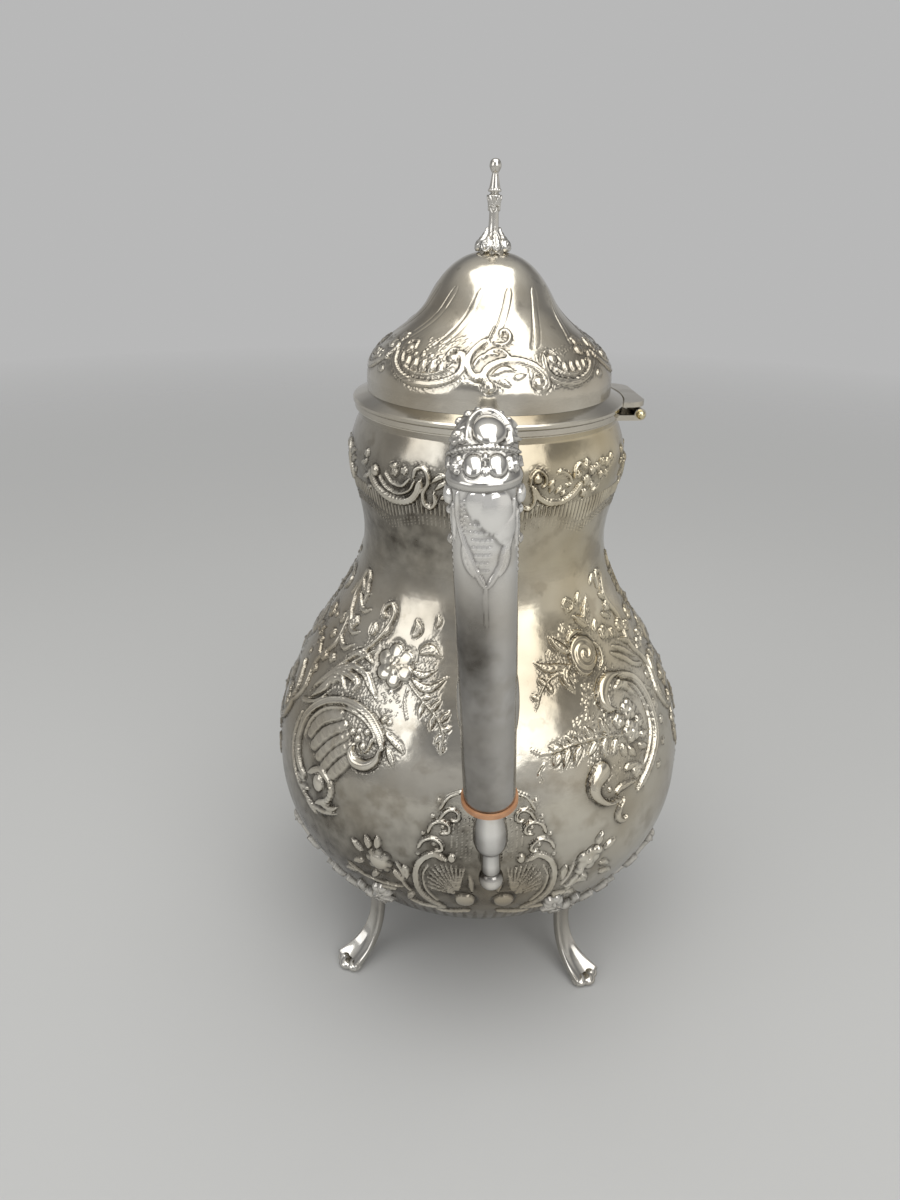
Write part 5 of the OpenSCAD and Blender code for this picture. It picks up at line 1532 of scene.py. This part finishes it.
@dataclass
class Spout:
    """The swan-necked spout with acanthus on its lower half."""

    body: Body
    root_z: float = 66.4
    half_w: float = 13.0
    half_h: float = 21.0
    start: Point = (78.8, 96.55)
    pull: tuple[Point, Point] = ((77.8, 126.7), (65.6, 150.2))
    lip: Point = (81.6, 180.4)
    low_r: float = 8.5
    throat_r: float = 5.6
    lip_flare: float = 1.4
    wall: float = 1.2
    root_len: float = 46.0
    tube_len: float = 96.0
    root_steps: int = 40
    tube_steps: int = 90

    def drawn(self) -> tuple[np.ndarray, np.ndarray]:
        """Lengths on the drawn relief at each ring of the root and of the tube."""
        root = np.linspace(0, self.root_len, self.root_steps, endpoint=False)
        return root, self.root_len + self.tube_len * np.linspace(0, 1, self.tube_steps)

    def skin(self, angles: np.ndarray, thin: float, raised: Optional[Relief] = None) -> np.ndarray:
        """Rings from the root to the lip, thinner by a wall, with relief where it is given."""
        tube = np.linspace(0, 1, self.tube_steps)
        on_root, on_tube = self.drawn()
        line = [self.start, *self.pull, self.lip]
        radii = ((mix(self.low_r, self.throat_r, tube**0.8) + self.lip_flare * tube**7 - thin)[:, None]
                 + 0 * angles)
        if raised is not None:
            radii = radii + raised.sample(raised.height, angles, on_tube)
        dirs = bezier_dir(line, tube)
        rings = np.stack([plane_ring(c, d, r, angles) for c, d, r in zip(bezier(line, tube), dirs, radii)])
        root = root_ring(self.body, self.root_z, self.half_w - thin, self.half_h - thin, -0.3, angles)
        leave = np.array([0, 1, 0.15]) / math.hypot(1, 0.15)
        loft = root_loft(root, rings[0], leave, np.array([0, dirs[0][0], dirs[0][1]]), self.root_steps)
        if raised is not None:
            out = grid_normals(loft)
            out *= np.sign(np.sum(out * (loft - loft.mean(1, keepdims=True)), axis=2, keepdims=True))
            loft = loft + out * raised.sample(raised.height, angles, on_root)[..., None]
        return np.concatenate([loft, rings])

    def build(self, finish: Finishes) -> None:
        """Makes the spout as one hollow skin."""
        sheet = Profile(np.array([[11.0, 0], [7.0, self.root_len + self.tube_len]]))
        relief = Relief(sheet, 720, 0.3, by_height=False)
        for side in (-1, 1):
            relief.line([(side * 8, 3), (side * 30, 22), (side * 22, 44), (side * 50, 60), (side * 38, 70)],
                        1.5, 1.2, Section.BAND)
            relief.leaf((side * 60, 4), (side * 75, 24), (side * 52, 44), width=3.0, height=1.3)
            relief.leaf((side * 115, 5), (side * 120, 22), (side * 100, 38), width=2.6, height=1.1)
            relief.leaf((side * 150, 48), (side * 120, 62), (side * 105, 80), width=2.0, height=0.9)
            relief.bead((side * 38, 66), 1.8)
        relief.leaf((180, 40), (180, 66), (180, 92), width=3.4, height=1.2)
        relief.leaf((-180, 40), (-180, 66), (-180, 92), width=3.4, height=1.2)
        relief.leaf((0, 8), (0, 28), (0, 48), width=3.0, height=1.2)
        relief.finish(0.25)
        angles = np.arange(-180, 180, 4.0)
        outer = self.skin(angles, 0.0, relief)
        inner = self.skin(angles, self.wall)
        shade_and_tarnish_mask = relief.sample(relief.shade_and_tarnish_mask, angles, np.concatenate(self.drawn()))
        rings = np.concatenate([outer, inner[::-1], outer[:1]])
        values = np.concatenate([shade_and_tarnish_mask, 0 * shade_and_tarnish_mask, shade_and_tarnish_mask[:1]])
        piece = Gathered().tube(rings, values, closed=False).piece("spout_shell")
        dress(piece, finish.silver, "pot", "silver", "spout")


@dataclass
class Finial:
    """The cast finial: leafy foot, waisted stem, bud and ball."""

    foot_z: float = 237.9
    top_z: float = 262.5

    def build(self, finish: Finishes) -> None:
        """Makes the finial with its roses, leaves and dots."""
        h, foot = self.top_z - self.foot_z, self.foot_z
        shape = [(3.8, -0.03), (4.3, 0.02), (4.6, 0.06), (4.2, 0.1), (3.2, 0.15), (2.2, 0.2), (1.6, 0.25),
                 (1.4, 0.36), (1.4, 0.47), (1.5, 0.54), (1.8, 0.59), (1.8, 0.615), (1.2, 0.635),
                 (1.2, 0.645), (1.6, 0.66), (1.6, 0.69), (1.3, 0.75), (1.05, 0.81), (0.9, 0.845),
                 (1.2, 0.865), (1.6, 0.9), (1.7, 0.925), (1.45, 0.965), (0.9, 0.99), (0.02, 1.0)]
        profile = Profile(smooth_path([(r, foot + h * t) for r, t in shape], 8))
        relief = Relief(profile, 360, 0.1)
        relief.turns = (0, 90, 180, 270)
        relief.rose((62, foot + 2.2), 1.9, 1.1)
        relief.leaf((10, foot + 0.6), (12, foot + 3), (8, foot + 7), width=1.5, height=0.9)
        relief.leaf((-30, foot + 1.2), (-24, foot + 4.6), width=1.0, height=0.7)
        relief.leaf((-10, foot + 11), (-6, foot + 15.2), width=0.9, height=0.45)
        relief.leaf((45, foot + 12.2), (45, foot + 15.2), width=0.8, height=0.5)
        relief.dots((0, foot + 16.4), (60, foot + 16.4), 3, 0.45, 0.3)
        relief.finish(0.15)
        angles = np.arange(-180, 180, 3.0)
        lengths = np.linspace(0, profile.total, 190)
        points = embossed_points(profile, relief, angles, lengths)
        piece = Gathered().tube(points, relief.sample(relief.shade_and_tarnish_mask, angles, lengths)).piece("finial_cast")
        dress(piece, finish.cast, "lid", "cast_silver", "finial")


@dataclass
class Foot:
    """A cast foot: a curved leg with a lobed toe under a spray of flowers."""

    node: str
    turn: float
    body: Body
    spray: Relief
    leg_root_r: float = 47.0
    toe_r: float = 60.2
    leg_w: float = 5.0
    toe_w: float = 10.8
    leg_t: float = 3.2
    toe_t: float = 3.4

    @staticmethod
    def draw_spray(body: Body) -> Relief:
        """Draws the spray once, about angle 0 on the body's underside."""
        r = Relief(body.profile, 1600, 0.25)
        for side in (-1, 1):
            r.line([(0, 31), (side * 8, 37), (side * 15, 45), (side * 21, 53)], 1.7, 1.9)
            r.flower((side * 21, 53), 3.6, 5, 2.9)
            r.flower((side * 9.5, 40), 3.4, 5, 2.9)
            r.bead((side * 15.5, 47), 2.3, 2.5)
            r.bead((side * 4, 36), 2.4, 2.7)
            for points in ([(side * 12, 42), (side * 20, 44)], [(side * 17, 48), (side * 24, 49)],
                           [(side * 6, 40), (side * 5, 47)], [(side * 12, 46), (side * 13, 52)],
                           [(side * 8, 34), (side * 15, 36)]):
                r.leaf(*points, width=2.0, height=2.3)
        r.flower((0, 38), 4.0, 6, 3.2)
        r.leaf((0, 42), (0, 49), width=2.2, height=2.4)
        r.finish(0.0)
        return r

    def turned(self, p: np.ndarray) -> np.ndarray:
        """Turns points drawn along +X to the foot's place."""
        c, s = math.cos(math.radians(self.turn)), math.sin(math.radians(self.turn))
        return np.stack([p[..., 0] * c - p[..., 1] * s, p[..., 0] * s + p[..., 1] * c, p[..., 2]], -1)

    def build(self, finish: Finishes) -> None:
        """Makes leg, toe and spray as one casting."""
        made = Gathered()
        leg = self.leg()
        # Painted shade: the leg is darkest at its root under the belly and lightens towards the toe.
        leg_shade = np.interp(np.linspace(0, 1, len(leg)), (0, 0.3, 0.8, 1), (0.4, 0.3, 0.2, 0.1))
        made.tube(self.turned(leg), leg_shade[:, None] + 0 * leg[..., 0])
        lobe = 0.26 * self.toe_w
        for i in (-1, 0, 1):
            middle = (self.toe_r + 0.4 - 0.5 * abs(i) * lobe, i * (self.toe_w / 2 - lobe), 0.5 * self.toe_t)
            made.tube(self.turned(self.lobe(middle, lobe, 0.52 * self.toe_t)))
        angles = np.arange(-27, 27.1, 0.36)
        lengths = np.arange(self.body.profile.length_at(29), self.body.profile.length_at(60), 0.4)
        points = embossed_points(self.body.profile, self.spray, angles, lengths)
        raised = self.spray.sample(self.spray.height, angles, lengths)
        cell = np.maximum(np.maximum(raised[1:, 1:], raised[:-1, :-1]),
                          np.maximum(raised[1:, :-1], raised[:-1, 1:]))
        points = np.stack([-points[..., 1], points[..., 0], points[..., 2]], -1)
        # Tarnishing and painted shade in the spray's hollows, made stronger than on the body.
        spray_shade_and_tarnish = np.clip(1.7 * self.spray.sample(self.spray.shade_and_tarnish_mask, angles, lengths), 0, 1)
        made.patch(self.turned(points), spray_shade_and_tarnish, cell > 0.05)
        dress(made.piece(self.node + "_cast"), finish.cast, "pot", "cast_silver", self.node)

    def leg(self) -> np.ndarray:
        """Rings of the leg from its root down to the toe."""
        depth = self.body.belly_z - self.body.base_z
        drop = depth * math.sqrt(1 - (self.leg_root_r / self.body.belly_r) ** 2)
        root_z = self.body.belly_z - drop + self.leg_t
        line = [(self.leg_root_r, root_z), (self.leg_root_r - 2.5, 0.5 * root_z),
                (self.leg_root_r - 1, 0.16 * root_z), (self.toe_r, self.toe_t / 2)]
        t = np.linspace(0, 1, 60)
        a = np.radians(np.arange(0, 360, 10))
        half_w = mix(self.leg_w, self.toe_w, t**2.6) / 2 + 2.2 * (1 - t) ** 5
        rings = []
        for c, d, w, u in zip(bezier(line, t), bezier_dir(line, t), half_w, t):
            side = w * np.sign(np.cos(a)) * np.abs(np.cos(a)) ** 0.6
            lip = (mix(0.5, 1.5, u) * np.abs(side / w) ** 3
                   - mix(0.2, 0.9, u) * np.exp(-((side / (0.5 * w)) ** 2)))
            thick = self.leg_t / 2 * np.sin(a) + np.where(np.sin(a) > 0, 1, 0) * lip
            rings.append(np.stack([c[0] + thick * -d[1], side, np.maximum(c[1] + thick * d[0], 0.02)], -1))
        return np.stack(rings)

    @staticmethod
    def lobe(centre: tuple[float, float, float], r: float, half_h: float) -> np.ndarray:
        """Rings of a low toe lobe that is flat where it stands."""
        b = np.linspace(-math.pi / 2 + 0.02, math.pi / 2 - 0.02, 20)[:, None]
        a = np.radians(np.arange(0, 360, 12))[None, :]
        z = np.maximum(centre[2] + half_h * np.sin(b) + 0 * a, 0)
        x, y = centre[0] + r * np.cos(b) * np.cos(a), centre[1] + r * np.cos(b) * np.sin(a)
        return np.stack([x, y, z], -1)


@dataclass
class Fittings:
    """The frame's own pieces that keep their shape and get a finish."""

    plain: tuple[str, ...] = ("mouth_wire", "strainer", "lid_flange", "lid_bezel", "lid_hinge_leaf",
                              "body_hinge_leaf")
    cast: tuple[str, ...] = ("handle_upper_pin", "finial_washer", "finial_nut")
    fibre: tuple[str, ...] = ("handle_upper_insulator", "handle_lower_insulator")
    yellow: tuple[str, ...] = ("hinge_pin",)

    def dress(self, finish: Finishes) -> None:
        """Gives each piece its finish."""
        for names, mat in ((self.plain, finish.plain), (self.cast, finish.cast), (self.fibre, finish.fibre),
                           (self.yellow, finish.yellow)):
            for name in names:
                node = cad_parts[name]
                for holder in node.material_slots:
                    holder.link = "OBJECT"
                    holder.material = mat
                log.info("%s: kept from the frame", name)


@dataclass
class Studio:
    """Pale floor, soft light, background and camera."""

    floor_half: float = 1.3
    pale: tuple[float, float, float, float] = (0.52, 0.52, 0.51, 1)
    wall: tuple[float, float, float, float] = (0.48, 0.48, 0.48, 1)
    left_wall: tuple[float, float, float, float] = (0.42, 0.42, 0.42, 1)
    right_wall: tuple[float, float, float, float] = (0.64, 0.635, 0.62, 1)
    dim: tuple[float, float, float, float] = (0.26, 0.26, 0.265, 1)
    ceiling: tuple[float, float, float, float] = (0.62, 0.62, 0.61, 1)
    camera_at: tuple[float, float, float] = (-5.32, -278.25, 256.8)
    ahead: tuple[float, float] = (-0.0192, 0.9998)
    pitch: float = 25.0
    roll: float = 0.95
    lens: float = 27.03

    def build(self) -> None:
        """Makes everything round the pot."""
        self.floor()
        self.world()
        self.lamp("top_light", (40, -260, 1150), 1100, 7.0)
        self.lamp("right_light", (420, -760, 640), 640, 2.2)
        self.lamp("left_light", (-660, -470, 520), 520, 1.2)
        self.camera()
        bpy.context.scene.view_settings.view_transform = "Standard"

    def floor(self) -> None:
        """Makes a pale floor that fades into the walls."""
        h = self.floor_half
        mesh = bpy.data.meshes.new("floor")
        mesh.from_pydata([(-h, -h, 0), (h, -h, 0), (h, h, 0), (-h, h, 0)], [], [(0, 1, 2, 3)])
        plane = bpy.data.objects.new("floor", mesh)
        bpy.context.scene.collection.objects.link(plane)
        mat = bpy.data.materials.new("pale_floor")
        mat.use_nodes = True
        n = Nodes(mat.node_tree)
        place = n.add("TexCoord").outputs["Object"]
        shade = n.blend(n.span(n.noise(place, 300.0), 0.3, 0.7, 0.0, 0.08), self.pale, (0.5, 0.5, 0.5, 1))
        length = n.add("VectorMath")
        length.operation = "LENGTH"
        n.put(length, 0, place)
        shown = n.span(length.outputs["Value"], 0.35 * h, h, 1.0, 0.0)
        shader = n.add("BsdfPrincipled", Base_Color=shade, Roughness=0.9, Alpha=shown)
        n.add("OutputMaterial", Surface=shader.outputs[0])
        mesh.materials.append(mat)

    def world(self) -> None:
        """Makes a room with pale walls, brighter on the right, dim above them, under a pale ceiling."""
        world = bpy.data.worlds.new("room")
        bpy.context.scene.world = world
        world.use_nodes = True
        n = Nodes(world.node_tree)
        way = n.add("SeparateXYZ", Vector=n.add("TexCoord").outputs["Generated"]).outputs
        upper = n.blend(n.span(way["Z"], 0.5, 0.85), self.dim, self.ceiling)
        walls = n.blend(n.span(way["X"], 0.5, 0.85), self.wall, self.right_wall)
        walls = n.blend(n.span(way["X"], -0.85, -0.5, 1.0, 0.0), walls, self.left_wall)
        shade = n.blend(n.span(way["Z"], 0.2, 0.38), walls, upper)
        n.add("OutputWorld", Surface=n.add("Background", Color=shade, Strength=1.0).outputs[0])

    def lamp(self, name: str, place: tuple[float, float, float], size: float, power: float) -> None:
        """Makes a square soft light that faces the pot's middle, with sizes in millimetres."""
        data = bpy.data.lights.new(name, "AREA")
        data.size, data.energy = size * MM, power
        lamp = bpy.data.objects.new(name, data)
        lamp.location = Vector(place) * MM
        lamp.rotation_euler = (Vector((0, 0, 0.12)) - lamp.location).to_track_quat("-Z", "Y").to_euler()
        bpy.context.scene.collection.objects.link(lamp)

    def camera(self) -> None:
        """Places the camera at the photograph's angle."""
        data = bpy.data.cameras.new("camera")
        data.lens, data.sensor_width, data.clip_start = self.lens, 36.0, 0.01
        cam = bpy.data.objects.new("camera", data)
        down = math.radians(self.pitch)
        look = Vector((self.ahead[0] * math.cos(down), self.ahead[1] * math.cos(down), -math.sin(down)))
        turn = (look.to_track_quat("-Z", "Y").to_matrix().to_4x4()
                @ Matrix.Rotation(math.radians(self.roll), 4, "Z"))
        cam.matrix_world = Matrix.Translation(Vector(self.camera_at) * MM) @ turn
        bpy.context.scene.collection.objects.link(cam)
        bpy.context.scene.camera = cam


def main() -> None:
    """Builds the pot's looks and the studio."""
    logging.basicConfig(level=logging.INFO, format="%(message)s")
    finish = Finishes.make()
    body = Body()
    body.build(finish)
    Lid().build(finish)
    Handle(body).build(finish)
    Spout(body).build(finish)
    Finial().build(finish)
    spray = Foot.draw_spray(body)
    for name, turn in (("foot_front_left", 222.5), ("foot_front_right", 312.5), ("foot_back_left", 132.5),
                       ("foot_back_right", 42.5)):
        Foot(name, turn, body, spray).build(finish)
    Fittings().dress(finish)
    Studio().build()


if __name__ == "__main__":
    main()
